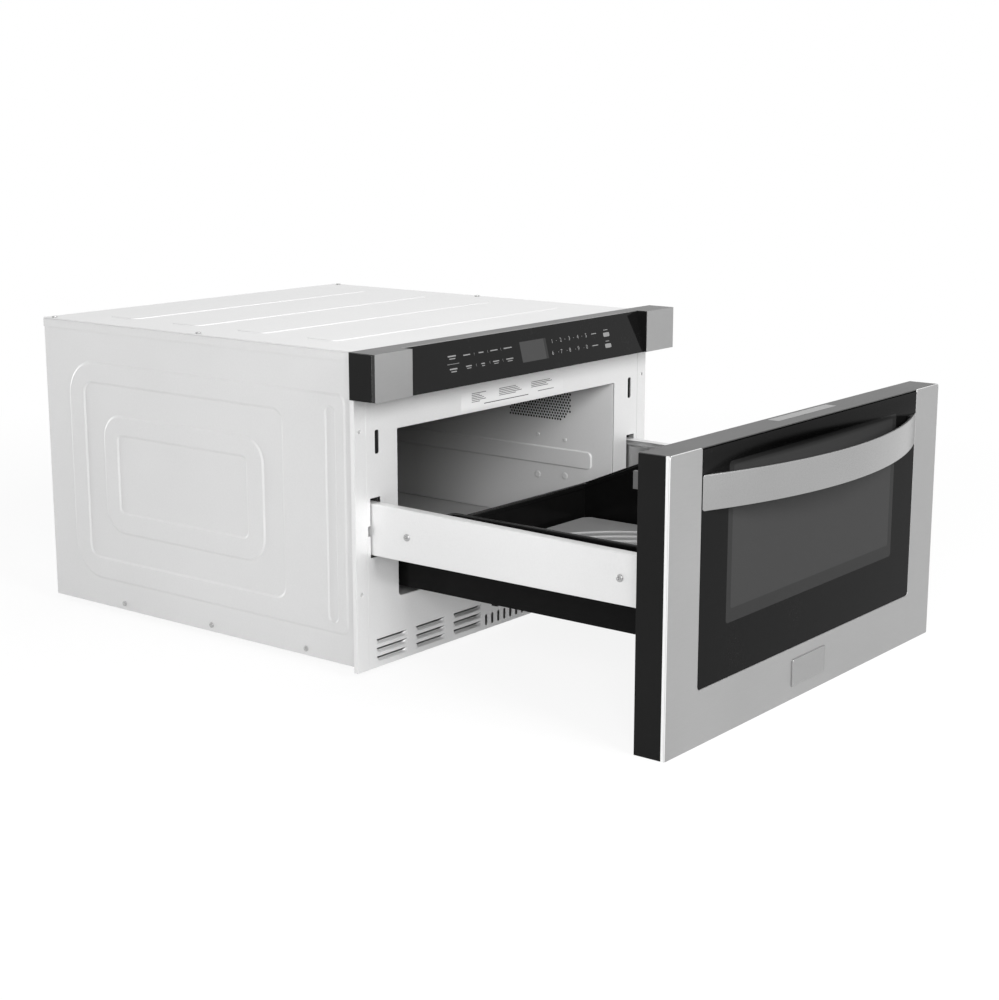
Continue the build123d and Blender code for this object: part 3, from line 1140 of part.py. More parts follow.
def make_pinion():
    root_radius = PITCH_RADIUS - ROOT_DEPTH
    tip_radius = PITCH_RADIUS + TIP_HEIGHT
    tip_half = TOOTH_HALF - TIP_HEIGHT * FLANK
    root_half = TOOTH_HALF + ROOT_DEPTH * FLANK / 2
    turn = 360 / PINION_TEETH
    with BuildPart() as pinion:
        with BuildSketch(Plane.XY.offset(PINION_BOTTOM)):
            with Locations(PINION_POINT):
                Circle(root_radius)
            with Locations(Location((PINION_POINT[0], PINION_POINT[1], 0))):
                with PolarLocations(0, PINION_TEETH, start_angle=turn / 2):
                    Polygon((root_radius - 1, -root_half), (tip_radius, -tip_half), (tip_radius, tip_half),
                            (root_radius - 1, root_half), align=None)
        extrude(amount=PINION_HEIGHT)
        shaft_bottom = MOTOR_BRACKET_TOP - MOTOR_BRACKET_SHEET - PINION_SHAFT_DEPTH
        shaft_top = PINION_BOTTOM + PINION_HEIGHT
        rod(PINION_SHAFT_RADIUS, (*PINION_POINT, shaft_bottom), (0, 0, 1), shaft_top - shaft_bottom)
    save(pinion, "drive_pinion")


def make_motor_bracket():
    front = FACE + MOTOR_BRACKET_FRONT
    rear = FACE + MOTOR_BRACKET_REAR
    under = MOTOR_BRACKET_TOP - MOTOR_BRACKET_SHEET
    with BuildPart() as bracket:
        block(-INSIDE, -LINER_HALF, front, rear, under, MOTOR_BRACKET_TOP)
        for place, inward in ((-INSIDE, 1), (-LINER_HALF, -1)):
            block(place, place + inward * MOTOR_BRACKET_SHEET, front, rear, under - MOTOR_BRACKET_LIP, under)
        rod(PINION_SHAFT_RADIUS + 1, (*PINION_POINT, under), (0, 0, 1), MOTOR_BRACKET_SHEET, mode=Mode.SUBTRACT)
    save(bracket, "drive_motor_bracket")


def make_drive_motor():
    """Gearbox under the bracket and the round motor below it."""
    top = MOTOR_BRACKET_TOP - MOTOR_BRACKET_SHEET
    middle_x, middle_y = PINION_POINT
    with BuildPart() as motor:
        with BuildSketch(Plane.XY.offset(top - GEARBOX_HEIGHT)):
            with Locations((middle_x, middle_y)):
                RectangleRounded(GEARBOX_WIDTH, GEARBOX_LENGTH, 6)
        extrude(amount=GEARBOX_HEIGHT)
        rod(MOTOR_CAN_RADIUS, (middle_x, middle_y, top - GEARBOX_HEIGHT), (0, 0, -1), MOTOR_CAN_HEIGHT)
        rod(PINION_SHAFT_RADIUS + PINION_SHAFT_PLAY, (middle_x, middle_y, top), (0, 0, -1),
            PINION_SHAFT_DEPTH + 0.5, mode=Mode.SUBTRACT)
    save(motor, "drive_motor")


# ---------------------------------------------------------------- interlock

SWITCH_START = FACE + SWITCH_FRONT


def make_interlock_switches():
    with BuildPart() as switches:
        for side in (-1, 1):
            block(side * (HOOK_X - SWITCH_WIDTH / 2), side * (HOOK_X + SWITCH_WIDTH / 2),
                  SWITCH_START, SWITCH_START + SWITCH_LENGTH,
                  PLUNGER_Z - SWITCH_HEIGHT / 2, PLUNGER_Z + SWITCH_HEIGHT / 2)
            rod(PLUNGER_RADIUS + PLUNGER_PLAY, (side * HOOK_X, SWITCH_START, PLUNGER_Z), (0, 1, 0),
                PLUNGER_DEPTH + PLUNGER_TRAVEL + 0.5, mode=Mode.SUBTRACT)
    save(switches, "interlock_switches")


def make_interlock_brackets():
    with BuildPart() as brackets:
        for side in (-1, 1):
            outer = HOOK_X - SWITCH_WIDTH / 2
            inner = outer - SWITCH_BRACKET_SHEET
            bottom = PLUNGER_Z - SWITCH_BRACKET_HEIGHT / 2
            top = PLUNGER_Z + SWITCH_BRACKET_HEIGHT / 2
            block(side * inner, side * outer, BEHIND_FACE, SWITCH_START + SWITCH_LENGTH, bottom, top)
            block(side * outer, side * (inner - SWITCH_BRACKET_FOOT), BEHIND_FACE,
                  BEHIND_FACE + SWITCH_BRACKET_SHEET, bottom, top)
    save(brackets, "interlock_brackets")


def make_plunger(side, label):
    with BuildPart() as plunger:
        rod(PLUNGER_RADIUS, (side * HOOK_X, SWITCH_START + PLUNGER_DEPTH, PLUNGER_Z), (0, -1, 0),
            PLUNGER_DEPTH + PLUNGER_PROUD)
        tip = plunger.faces().sort_by(Axis.Y)[0]
        fillet(tip.edges(), radius=PLUNGER_RADIUS / 2)
    save(plunger, label)


# ---------------------------------------------------------------- microwave feed

FEED_POINT = (0, FACE + FEED_Y)


def make_waveguide():
    half = WAVEGUIDE_WIDTH / 2
    front = FACE + WAVEGUIDE_FRONT
    rear = REAR - WAVEGUIDE_REAR_GAP
    wall = WAVEGUIDE_WALL
    with BuildPart() as waveguide:
        block(-half, half, front, rear, LINER_TOP, WAVEGUIDE_TOP)
        block(-half + wall, half - wall, front + wall, rear - wall, LINER_TOP + wall, WAVEGUIDE_TOP - wall,
              mode=Mode.SUBTRACT)
        rod(FEED_HOLE_RADIUS, (*FEED_POINT, LINER_TOP), (0, 0, 1), wall, mode=Mode.SUBTRACT)
        rod(STIRRER_SHAFT_RADIUS + 1, (*FEED_POINT, WAVEGUIDE_TOP), (0, 0, -1), wall, mode=Mode.SUBTRACT)
        rod(ANTENNA_RADIUS + 2, (0, BAY_Y, LINER_TOP), (0, 0, 1), wall, mode=Mode.SUBTRACT)
    save(waveguide, "waveguide")


def make_magnetron():
    """Yoke frame open to the left and right, fins round the core, antenna up into the waveguide."""
    half_x = MAGNETRON_WIDTH / 2
    half_y = MAGNETRON_LENGTH / 2
    top = LINER_TOP
    bottom = top - MAGNETRON_HEIGHT
    wall = MAGNETRON_WALL
    with BuildPart() as magnetron:
        block(-half_x, half_x, BAY_Y - half_y, BAY_Y + half_y, bottom, top)
        block(-half_x, half_x, BAY_Y - half_y + wall, BAY_Y + half_y - wall, bottom + wall, top - wall,
              mode=Mode.SUBTRACT)
        rod(MAGNETRON_CORE_RADIUS, (0, BAY_Y, bottom), (0, 0, 1), MAGNETRON_HEIGHT)
        rod(ANTENNA_RADIUS, (0, BAY_Y, top), (0, 0, 1), ANTENNA_LENGTH)
        pitch = MAGNETRON_HEIGHT / (MAGNETRON_FINS + 1)
        reach = half_x - MAGNETRON_FIN_INSET
        for number in range(MAGNETRON_FINS):
            fin_z = bottom + (number + 1) * pitch
            block(-reach, reach, BAY_Y - half_y + wall, BAY_Y + half_y - wall, fin_z, fin_z + MAGNETRON_FIN_SHEET)
    save(magnetron, "magnetron")


def make_stirrer_motor():
    with BuildPart() as stirrer_motor:
        rod(STIRRER_MOTOR_RADIUS, (*FEED_POINT, WAVEGUIDE_TOP), (0, 0, 1), STIRRER_MOTOR_HEIGHT)
        rod(STIRRER_SHAFT_RADIUS + STIRRER_SHAFT_PLAY, (*FEED_POINT, WAVEGUIDE_TOP), (0, 0, 1),
            STIRRER_SHAFT_GRIP + 0.5, mode=Mode.SUBTRACT)
    save(stirrer_motor, "stirrer_motor")


def make_stirrer():
    """Four flat blades under the ceiling of the cavity, on a shaft down through the feed hole."""
    blade_top = CAVITY_CEILING - STIRRER_DROP
    blade_bottom = blade_top - STIRRER_SHEET
    with BuildPart() as stirrer:
        with BuildSketch(Plane.XY.offset(blade_bottom)):
            with Locations(FEED_POINT):
                Circle(STIRRER_HUB_RADIUS + 4)
            with Locations(Location((*FEED_POINT, 0))):
                with PolarLocations(STIRRER_RADIUS / 2, STIRRER_BLADES):
                    Rectangle(STIRRER_RADIUS, STIRRER_BLADE_WIDTH)
        extrude(amount=STIRRER_SHEET)
        rod(STIRRER_HUB_RADIUS, (*FEED_POINT, blade_bottom), (0, 0, 1), STIRRER_DROP)
        rod(STIRRER_SHAFT_RADIUS, (*FEED_POINT, blade_bottom), (0, 0, 1),
            WAVEGUIDE_TOP + STIRRER_SHAFT_GRIP - blade_bottom)
    save(stirrer, "stirrer_blades")


def make_stirrer_cover():
    top = CAVITY_CEILING - STIRRER_COVER_DROP
    half = STIRRER_COVER_SIDE / 2
    with BuildPart() as cover:
        with BuildSketch(Plane.XY.offset(top - STIRRER_COVER_SHEET)):
            with Locations(FEED_POINT):
                RectangleRounded(STIRRER_COVER_SIDE, STIRRER_COVER_SIDE, 8)
        extrude(amount=STIRRER_COVER_SHEET)
        for post_x in (-1, 1):
            for post_y in (-1, 1):
                inset = half - 3 * COVER_POST_RADIUS
                start = (FEED_POINT[0] + post_x * inset, FEED_POINT[1] + post_y * inset, top)
                rod(COVER_POST_RADIUS, start, (0, 0, 1), STIRRER_COVER_DROP)
    save(cover, "stirrer_cover")


# ---------------------------------------------------------------- high voltage and cooling

def make_transformer():
    """Laminated core with two windows, and the winding round its middle leg."""
    half = TRANSFORMER_WIDTH / 2
    yoke = TRANSFORMER_YOKE
    half_length = TRANSFORMER_LENGTH / 2
    bottom = SHEET + yoke
    top = SHEET + TRANSFORMER_HEIGHT - yoke
    with BuildPart() as transformer:
        block(TRANSFORMER_X - half, TRANSFORMER_X + half, BAY_Y - half_length, BAY_Y + half_length,
              SHEET, SHEET + TRANSFORMER_HEIGHT)
        for side in (-1, 1):
            block(TRANSFORMER_X + side * yoke, TRANSFORMER_X + side * (half - yoke), BAY_Y - half_length,
                  BAY_Y + half_length, bottom, top, mode=Mode.SUBTRACT)
        with BuildSketch(Plane.XY.offset(bottom + COIL_GAP)):
            with Locations((TRANSFORMER_X, BAY_Y)):
                RectangleRounded(2 * (half - yoke - COIL_GAP), 2 * (half_length + COIL_OVERHANG), COIL_OVERHANG - 2)
        extrude(amount=top - bottom - 2 * COIL_GAP)
    save(transformer, "hv_transformer")


def make_capacitor():
    """Oval can with two terminals, and a foot strap with an ear at each end on the base plate."""
    with BuildPart() as capacitor:
        with BuildSketch(Plane.XY.offset(SHEET)):
            with Locations((CAPACITOR_X, BAY_Y)):
                RectangleRounded(CAPACITOR_WIDTH, CAPACITOR_DEPTH, 8)
        extrude(amount=CAPACITOR_HEIGHT)
        for side in (-1, 1):
            post = CAPACITOR_X + side * CAPACITOR_WIDTH / 4
            block(post - 3, post + 3, BAY_Y - 0.5, BAY_Y + 0.5, SHEET + CAPACITOR_HEIGHT,
                  SHEET + CAPACITOR_HEIGHT + 10)
        reach = CAPACITOR_DEPTH / 2 + CLAMP_EAR
        block(CAPACITOR_X - 8, CAPACITOR_X + 8, BAY_Y - reach, BAY_Y + reach, SHEET, SHEET + CLAMP_SHEET)
    save(capacitor, "hv_capacitor")


BLOWER_LEFT = BLOWER_X - BLOWER_WIDTH / 2
BLOWER_RIGHT = BLOWER_X + BLOWER_WIDTH / 2


def make_blower_housing():
    """Round housing with an inlet on the right, a foot below and a duct up to the side of the magnetron."""
    wall = BLOWER_WALL
    neck = DUCT_LENGTH / 2
    inner_width = BLOWER_WIDTH - 2 * wall
    with BuildPart() as housing:
        rod(BLOWER_RADIUS, (BLOWER_LEFT, BAY_Y, BLOWER_Z), (1, 0, 0), BLOWER_WIDTH)
        block(BLOWER_LEFT, BLOWER_RIGHT, BAY_Y - neck, BAY_Y + neck, BLOWER_Z, DUCT_TOP)
        block(MAGNETRON_WIDTH / 2, BLOWER_LEFT, BAY_Y - neck, BAY_Y + neck, DUCT_MOUTH_BOTTOM, DUCT_TOP)
        block(BLOWER_LEFT, BLOWER_RIGHT, BAY_Y - BLOWER_WEB / 2, BAY_Y + BLOWER_WEB / 2, SHEET, BLOWER_Z)
        foot = BLOWER_FOOT_LENGTH / 2
        block(BLOWER_LEFT, BLOWER_RIGHT, BAY_Y - foot, BAY_Y + foot, SHEET, SHEET + BLOWER_FOOT_SHEET)
        rod(BLOWER_RADIUS - wall, (BLOWER_LEFT + wall, BAY_Y, BLOWER_Z), (1, 0, 0), inner_width,
            mode=Mode.SUBTRACT)
        block(BLOWER_LEFT + wall, BLOWER_RIGHT - wall, BAY_Y - neck + wall, BAY_Y + neck - wall,
              BLOWER_Z, DUCT_TOP - wall, mode=Mode.SUBTRACT)
        block(MAGNETRON_WIDTH / 2, BLOWER_LEFT + wall, BAY_Y - neck + wall, BAY_Y + neck - wall,
              DUCT_MOUTH_BOTTOM + wall, DUCT_TOP - wall, mode=Mode.SUBTRACT)
        inlet_radius = WHEEL_RADIUS - WHEEL_VANE_DEPTH
        rod(inlet_radius, (BLOWER_RIGHT, BAY_Y, BLOWER_Z), (-1, 0, 0), wall, mode=Mode.SUBTRACT)
        rod(BLOWER_SHAFT_RADIUS + 1, (BLOWER_LEFT, BAY_Y, BLOWER_Z), (1, 0, 0), wall, mode=Mode.SUBTRACT)
    save(housing, "blower_housing")


def make_blower_motor():
    with BuildPart() as blower_motor:
        start = (BLOWER_LEFT, BAY_Y, BLOWER_Z)
        rod(BLOWER_MOTOR_RADIUS, start, (-1, 0, 0), BLOWER_MOTOR_LENGTH)
        rod(BLOWER_SHAFT_RADIUS + STIRRER_SHAFT_PLAY, start, (-1, 0, 0), BLOWER_MOTOR_LENGTH / 2,
            mode=Mode.SUBTRACT)
    save(blower_motor, "blower_motor")


def make_blower_wheel():
    """Squirrel-cage wheel: a back disc, a ring of vanes, a front ring, and the shaft."""
    left = BLOWER_LEFT + BLOWER_WALL + WHEEL_SIDE_GAP
    right = BLOWER_RIGHT - BLOWER_WALL - WHEEL_SIDE_GAP
    side_plane = Plane(origin=(left, BAY_Y, BLOWER_Z), x_dir=(0, 1, 0), z_dir=(1, 0, 0))
    vane_middle = WHEEL_RADIUS - WHEEL_VANE_DEPTH / 2
    with BuildPart() as wheel:
        rod(WHEEL_RADIUS, (left, BAY_Y, BLOWER_Z), (1, 0, 0), 2)
        with BuildSketch(side_plane):
            with PolarLocations(vane_middle, WHEEL_VANES):
                Rectangle(WHEEL_VANE_DEPTH, WHEEL_VANE_SHEET, rotation=30)
        extrude(amount=right - left)
        with BuildSketch(side_plane.offset(right - left - 2)):
            Circle(WHEEL_RADIUS)
            Circle(WHEEL_RADIUS - WHEEL_VANE_DEPTH, mode=Mode.SUBTRACT)
        extrude(amount=2)
        rod(WHEEL_HUB_RADIUS, (left, BAY_Y, BLOWER_Z), (1, 0, 0), 14)
        grip = BLOWER_MOTOR_LENGTH / 2 - 1
        shaft_start = BLOWER_LEFT - grip
        rod(BLOWER_SHAFT_RADIUS, (shaft_start, BAY_Y, BLOWER_Z), (1, 0, 0), left - shaft_start + 10)
    save(wheel, "blower_wheel")


# ---------------------------------------------------------------- small electrical parts

def make_filter_board():
    middle_y = FACE + FILTER_Y
    board_bottom = LINER_TOP + FILTER_STANDOFF
    board_top = board_bottom + BOARD_SHEET
    with BuildPart() as filter_board:
        block(FILTER_X - FILTER_WIDTH / 2, FILTER_X + FILTER_WIDTH / 2, middle_y - FILTER_LENGTH / 2,
              middle_y + FILTER_LENGTH / 2, board_bottom, board_top)
        for side in (-1, 1):
            for end in (-1, 1):
                post_x = FILTER_X + side * (FILTER_WIDTH / 2 - 6)
                post_y = middle_y + end * (FILTER_LENGTH / 2 - 6)
                rod(STANDOFF_RADIUS, (post_x, post_y, LINER_TOP), (0, 0, 1), FILTER_STANDOFF)
        with BuildSketch(Plane.XY.offset(board_top)):
            with Locations((FILTER_X, middle_y - 20)):
                Circle(CHOKE_RADIUS)
            with Locations((FILTER_X, middle_y - 20)):
                Circle(CHOKE_BORE, mode=Mode.SUBTRACT)
            with Locations((FILTER_X, middle_y + 22)):
                RectangleRounded(26, 16, 2)
        extrude(amount=CHOKE_HEIGHT)
    save(filter_board, "noise_filter_board")


def make_cavity_lamp():
    middle = (LAMP_X, LAMP_Y)
    half = LAMP_SIDE / 2
    wall = 1.5
    with BuildPart() as lamp:
        block(LAMP_X - half, LAMP_X + half, middle[1] - half, middle[1] + half, LINER_TOP, LINER_TOP + LAMP_HEIGHT)
        block(LAMP_X - half + wall, LAMP_X + half - wall, middle[1] - half + wall, middle[1] + half - wall,
              LINER_TOP, LINER_TOP + LAMP_HEIGHT - wall, mode=Mode.SUBTRACT)
        bulb_bottom = CAVITY_CEILING - BULB_DROP
        rod(BULB_RADIUS, (*middle, bulb_bottom), (0, 0, 1), LINER_TOP + LAMP_HEIGHT - bulb_bottom)
    save(lamp, "cavity_lamp")


def make_mains_gland():
    with BuildPart() as gland:
        seat = (GLAND_X, REAR, GLAND_Z)
        body = GLAND_RADIUS - SCREW_HOLE_CLEARANCE
        rod(GLAND_FLANGE_RADIUS, seat, (0, 1, 0), 3)
        rod(body, seat, (0, 1, 0), GLAND_OUT)
        rod(body, seat, (0, -1, 0), 10)
        rod(GLAND_FLANGE_RADIUS, (GLAND_X, REAR - SHEET, GLAND_Z), (0, -1, 0), 4)
        rod(GLAND_BORE, (GLAND_X, REAR + GLAND_OUT, GLAND_Z), (0, -1, 0), GLAND_OUT + 10, mode=Mode.SUBTRACT)
    save(gland, "mains_gland")


# ---------------------------------------------------------------- write every piece

make_base_plate()
make_side_panel(-1, "left_side_panel")
make_side_panel(1, "right_side_panel")
make_top_cover()
make_back_panel()
make_cabinet_screws()
make_mounting_flange(-1, "left_mounting_flange")
make_mounting_flange(1, "right_mounting_flange")
make_face_plate()
make_oven_liner()
make_rating_label()
make_panel_housing()
make_panel_glass()
make_panel_trim()
make_display()
make_control_board()
make_door_shell()
make_door_glass()
make_window_screen()
make_inner_glass()
make_inner_panel()
make_steel_frame()
make_door_top_trim()
make_door_top_label()
make_badge()
make_handle()
make_latch_hooks()
make_pan()
make_tray()
make_arm(-1, "left_drawer_arm")
make_arm(1, "right_drawer_arm")
make_arm_screws()
make_front_screws()
make_cabinet_rails()
make_mid_rail(-1, "left_mid_rail")
make_mid_rail(1, "right_mid_rail")
make_drawer_rails()
make_rail_brackets()
make_rack()
make_pinion()
make_motor_bracket()
make_drive_motor()
make_interlock_switches()
make_interlock_brackets()
make_plunger(-1, "left_switch_plunger")
make_plunger(1, "right_switch_plunger")
make_waveguide()
make_magnetron()
make_stirrer_motor()
make_stirrer()
make_stirrer_cover()
make_transformer()
make_capacitor()
make_blower_housing()
make_blower_motor()
make_blower_wheel()
make_filter_board()
make_cavity_lamp()
make_mains_gland()
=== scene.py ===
# %% [markdown]
# # A microwave drawer, dressed for its picture
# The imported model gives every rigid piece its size, place and motion. This script adds what a
# solid model lacks: pressed sheet metal with soft bends, brushed steel, enamel, glass, print and
# light. Everything is in metres, in the model's own frame: +X right, -Y out of the front, +Z up.

import math

import bpy
import numpy as np
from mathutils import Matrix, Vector
from mathutils.geometry import tessellate_polygon


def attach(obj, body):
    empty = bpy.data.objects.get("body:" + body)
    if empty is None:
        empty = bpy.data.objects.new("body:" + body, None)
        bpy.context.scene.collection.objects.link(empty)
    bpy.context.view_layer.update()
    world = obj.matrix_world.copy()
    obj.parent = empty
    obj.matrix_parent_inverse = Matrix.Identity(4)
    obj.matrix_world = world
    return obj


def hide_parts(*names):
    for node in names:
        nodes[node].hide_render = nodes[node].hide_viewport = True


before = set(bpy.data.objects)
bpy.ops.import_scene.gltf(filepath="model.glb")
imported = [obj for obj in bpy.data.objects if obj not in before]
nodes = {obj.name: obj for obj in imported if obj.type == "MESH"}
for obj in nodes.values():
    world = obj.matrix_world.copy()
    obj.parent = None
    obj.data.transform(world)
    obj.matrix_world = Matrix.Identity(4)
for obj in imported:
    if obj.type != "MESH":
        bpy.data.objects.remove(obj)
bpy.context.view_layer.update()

# %% [markdown]
# ## The camera
# A photograph is matched by finding where its camera stood and how long its lens was. Straight
# edges of known length on the drawer gave both, so the camera is written down once, as a place,
# a heading, a downward tilt and a focal length in pixels of the thousand-pixel side.

# %% Camera
CAMERA_PLACE = (-1.83845, -1.70646, 0.66309)
HEADING = math.radians(51.81)
TILT_DOWN = math.radians(12.27)
FOCAL_PIXELS = 1871.44
LONG_SIDE_PIXELS = 1000
SENSOR = 36.0
print("lens", round(FOCAL_PIXELS / LONG_SIDE_PIXELS * SENSOR, 2), "mm")


# %% Objects in the scene
def linked(name, data):
    """A new object in the scene."""
    thing = bpy.data.objects.new(name, data)
    bpy.context.scene.collection.objects.link(thing)
    return thing


def aimed(name, data, place, direction):
    """A camera or a lamp at a place, looking along a direction."""
    thing = linked(name, data)
    thing.location = place
    thing.rotation_mode = "QUATERNION"
    thing.rotation_quaternion = direction.to_track_quat("-Z", "Y")
    return thing


camera_data = bpy.data.cameras.new("picture_camera")
camera_data.sensor_width = SENSOR
camera_data.lens = FOCAL_PIXELS / LONG_SIDE_PIXELS * SENSOR
camera_data.clip_start, camera_data.clip_end = 0.05, 60.0
view_line = Vector((math.sin(HEADING) * math.cos(TILT_DOWN),
                    math.cos(HEADING) * math.cos(TILT_DOWN), -math.sin(TILT_DOWN)))
bpy.context.scene.camera = aimed("picture_camera", camera_data, CAMERA_PLACE, view_line)
bpy.context.scene.view_settings.view_transform = "Standard"
print(bpy.context.scene.camera.name, "at", CAMERA_PLACE)

# %% [markdown]
# ## Sheet metal as surfaces
# Most of what shows is thin sheet, pressed in a die: flats, rounded steps between them, and
# holes whose edges roll over. Modelling such a sheet by pushing single points about is slow and
# never quite even. Here a sheet is written as closed outlines on a plane. A flat is filled
# between outlines, and a step or a rolled edge is a short profile carried along an outline.

# %% Rounded outlines on a plane
MM = 0.001


def unit(rows):
    """Each row divided by its length."""
    return rows / np.linalg.norm(rows, axis=1, keepdims=True)


def full_turn(count):
    """Equal steps of angle round a circle."""
    return np.arange(count) * 2 * np.pi / count


def corners_rounded(points, radii, steps=8):
    """A closed outline in millimetres, its corners turned into arcs, as metres.
    Each arc's centre lies on the corner's bisector, radius / sin(half angle) from the corner."""
    corner = np.asarray(points, float)
    radius = np.broadcast_to(np.asarray(radii, float), len(corner))[:, None]
    back = unit(np.roll(corner, 1, axis=0) - corner)
    ahead = unit(np.roll(corner, -1, axis=0) - corner)
    half = np.arccos(np.clip((back * ahead).sum(1, keepdims=True), -1, 1)) / 2
    centre = corner + unit(back + ahead) * radius / np.sin(half)
    start = corner + back * radius / np.tan(half) - centre
    end = corner + ahead * radius / np.tan(half) - centre
    first = np.arctan2(start[:, 1], start[:, 0])
    sweep = (np.arctan2(end[:, 1], end[:, 0]) - first + np.pi) % (2 * np.pi) - np.pi
    angle = first[:, None] + sweep[:, None] * np.linspace(0, 1, steps + 1)
    arc = np.stack([np.cos(angle), np.sin(angle)], axis=2) * radius[:, :, None]
    return (centre[:, None, :] + arc).reshape(-1, 2) * MM


def rectangle(left, right, low, high, radii=0.5, steps=6):
    """A rounded rectangle, anticlockwise from its lower left corner."""
    return corners_rounded([(left, low), (right, low), (right, high), (left, high)], radii, steps)


def circle(across, up, radius, count=24):
    """A round outline: cosine and sine of equal turns about the centre."""
    turn = full_turn(count)
    return np.stack([across + radius * np.cos(turn), up + radius * np.sin(turn)], axis=1) * MM


print("outline of", len(rectangle(0, 10, 0, 5)), "points")


# %% Outlines moved inwards
def inset(loop, distance):
    """The outline moved inwards: each point goes along the mean of its two edge normals,
    lengthened by 1 / (1 + their dot product) so that both edges move by the distance."""
    along = unit(np.roll(loop, -1, axis=0) - loop)
    normal = np.stack([-along[:, 1], along[:, 0]], axis=1)
    before = np.roll(normal, 1, axis=0)
    dot = (normal * before).sum(1, keepdims=True)
    return loop + distance * (normal + before) / (1 + dot)


print("a circle of 5 mm, moved in by 1, reaches", inset(circle(0, 0, 5), MM)[:, 0].max())


# %% Flats and bands
def lift(plane, loop, level):
    """An outline in space: origin + first axis * across + second axis * up + normal * level."""
    origin, across, up = (np.asarray(v, float) for v in plane)
    normal = np.cross(across, up)
    return origin + loop[:, :1] * across + loop[:, 1:] * up + level * normal


def face_normals(points, faces):
    """Each triangle's normal, as long as twice its area."""
    first, second, third = (points[faces[:, k]] for k in range(3))
    return np.cross(second - first, third - first)


def flat(plane, loop, holes, level):
    """Triangles that fill an outline, less its holes, all turned to the plane's normal."""
    rings = [lift(plane, ring, level) for ring in [loop, *holes]]
    points = np.concatenate(rings)
    faces = np.array(tessellate_polygon([ring.tolist() for ring in rings]))
    turned = face_normals(points, faces) @ np.cross(plane[1], plane[2]) < 0
    faces[turned] = faces[turned][:, ::-1]
    return points, faces, np.zeros(len(faces), bool)


def band(rings, closed=True):
    """Smooth strip through rings of equal length, each ring a closed outline in space."""
    rows, count = len(rings), len(rings[0])
    number = np.arange(rows * count).reshape(rows, count)
    ahead = np.roll(number, -1, axis=1)
    if not closed:
        number, ahead = number[:, :-1], ahead[:, :-1]
    quads = np.stack([number[:-1], ahead[:-1], ahead[1:], number[1:]], axis=2).reshape(-1, 4)
    faces = np.concatenate([quads[:, [0, 1, 2]], quads[:, [0, 2, 3]]])
    return np.concatenate(rings), faces, np.ones(len(faces), bool)


print("band of", len(band([circle(0, 0, 5), circle(0, 0, 4)])[1]), "triangles")


# %% Joined, welded, thickened and mirrored parts
def joined(parts):
    """Several (points, faces, smooth) parts as one."""
    shift = np.cumsum([0] + [len(part[0]) for part in parts[:-1]])
    return (np.concatenate([part[0] for part in parts]),
            np.concatenate([part[1] + s for part, s in zip(parts, shift)]),
            np.concatenate([part[2] for part in parts]))


def welded(part):
    """Points closer than a ten-thousandth of a millimetre become one; faces that vanish go."""
    points, faces, smooth = part
    _, first, place = np.unique(np.round(points, 7), axis=0, return_index=True,
                                return_inverse=True)
    faces = place.reshape(-1)[faces]
    whole = (faces != np.roll(faces, -1, axis=1)).all(axis=1)
    return points[first], faces[whole], smooth[whole]


def thickened(part, offset):
    """A second skin at the offset, turned over, and a wall along each free edge between both."""
    points, faces, smooth = welded(part)
    count = len(points)
    edges = np.concatenate([faces[:, [0, 1]], faces[:, [1, 2]], faces[:, [2, 0]]])
    code = np.sort(edges, axis=1) @ np.array([count, 1])
    _, place, uses = np.unique(code, return_inverse=True, return_counts=True)
    a, b = edges[uses[place.reshape(-1)] == 1].T
    wall = np.concatenate([np.stack([b, a, a + count], axis=1),
                           np.stack([b, a + count, b + count], axis=1)])
    return (np.concatenate([points, points + np.asarray(offset, float)]),
            np.concatenate([faces, faces[:, ::-1] + count, wall]),
            np.concatenate([smooth, smooth, np.zeros(len(wall), bool)]))


def mirrored(part):
    """The same part on the other side: x changes sign and each face is turned over."""
    return part[0] * np.array([-1, 1, 1]), part[1][:, ::-1], part[2]


plate = flat(((0, 0, 0), (1, 0, 0), (0, 1, 0)), rectangle(0, 10, 0, 5), [], 0.0)
print("plate of", len(thickened(plate, (0, 0, -MM))[1]), "triangles")

# %% Holes, presses and whole sheets
HOLE_STEPS, PRESS_STEPS, ROLL_STEPS = 4, 7, 5


def soft_step(t):
    """A step from 0 to 1 that starts and ends level: 3 t^2 - 2 t^3."""
    return 3 * t**2 - 2 * t**3


def hole(loop, roll=0.3):
    """A feature: an opening, its edge rolled over by a radius in millimetres."""
    return ("hole", loop, roll * MM, 0.0, ())


def press(loop, slope, height, *inside):
    """A feature: a step of the sheet, the outline at the middle of its slope, in millimetres."""
    return ("press", loop, slope * MM, height * MM, inside)


def region(plane, loop, level, features):
    """Parts of one flat and of every feature on it. A step rises as 3 s^2 - 2 s^3 along its
    slope, and a hole's edge is a quarter circle."""
    edges, parts = [], []
    for kind, outline, width, height, inside in features:
        if kind == "hole":
            turn = np.linspace(0, np.pi / 2, HOLE_STEPS)
            offsets, levels = -width * (1 - np.sin(turn)), level - width * (1 - np.cos(turn))
        else:
            share = np.linspace(0, 1, PRESS_STEPS)
            offsets, levels = width * (share - 0.5), level + height * soft_step(share)
        rings = [lift(plane, inset(outline, o), l) for o, l in zip(offsets, levels)]
        edges.append(inset(outline, offsets[0]))
        parts.append(band(rings))
        if kind == "press":
            parts += region(plane, inset(outline, offsets[-1]), level + height, inside)
    return [flat(plane, loop, edges, level)] + parts


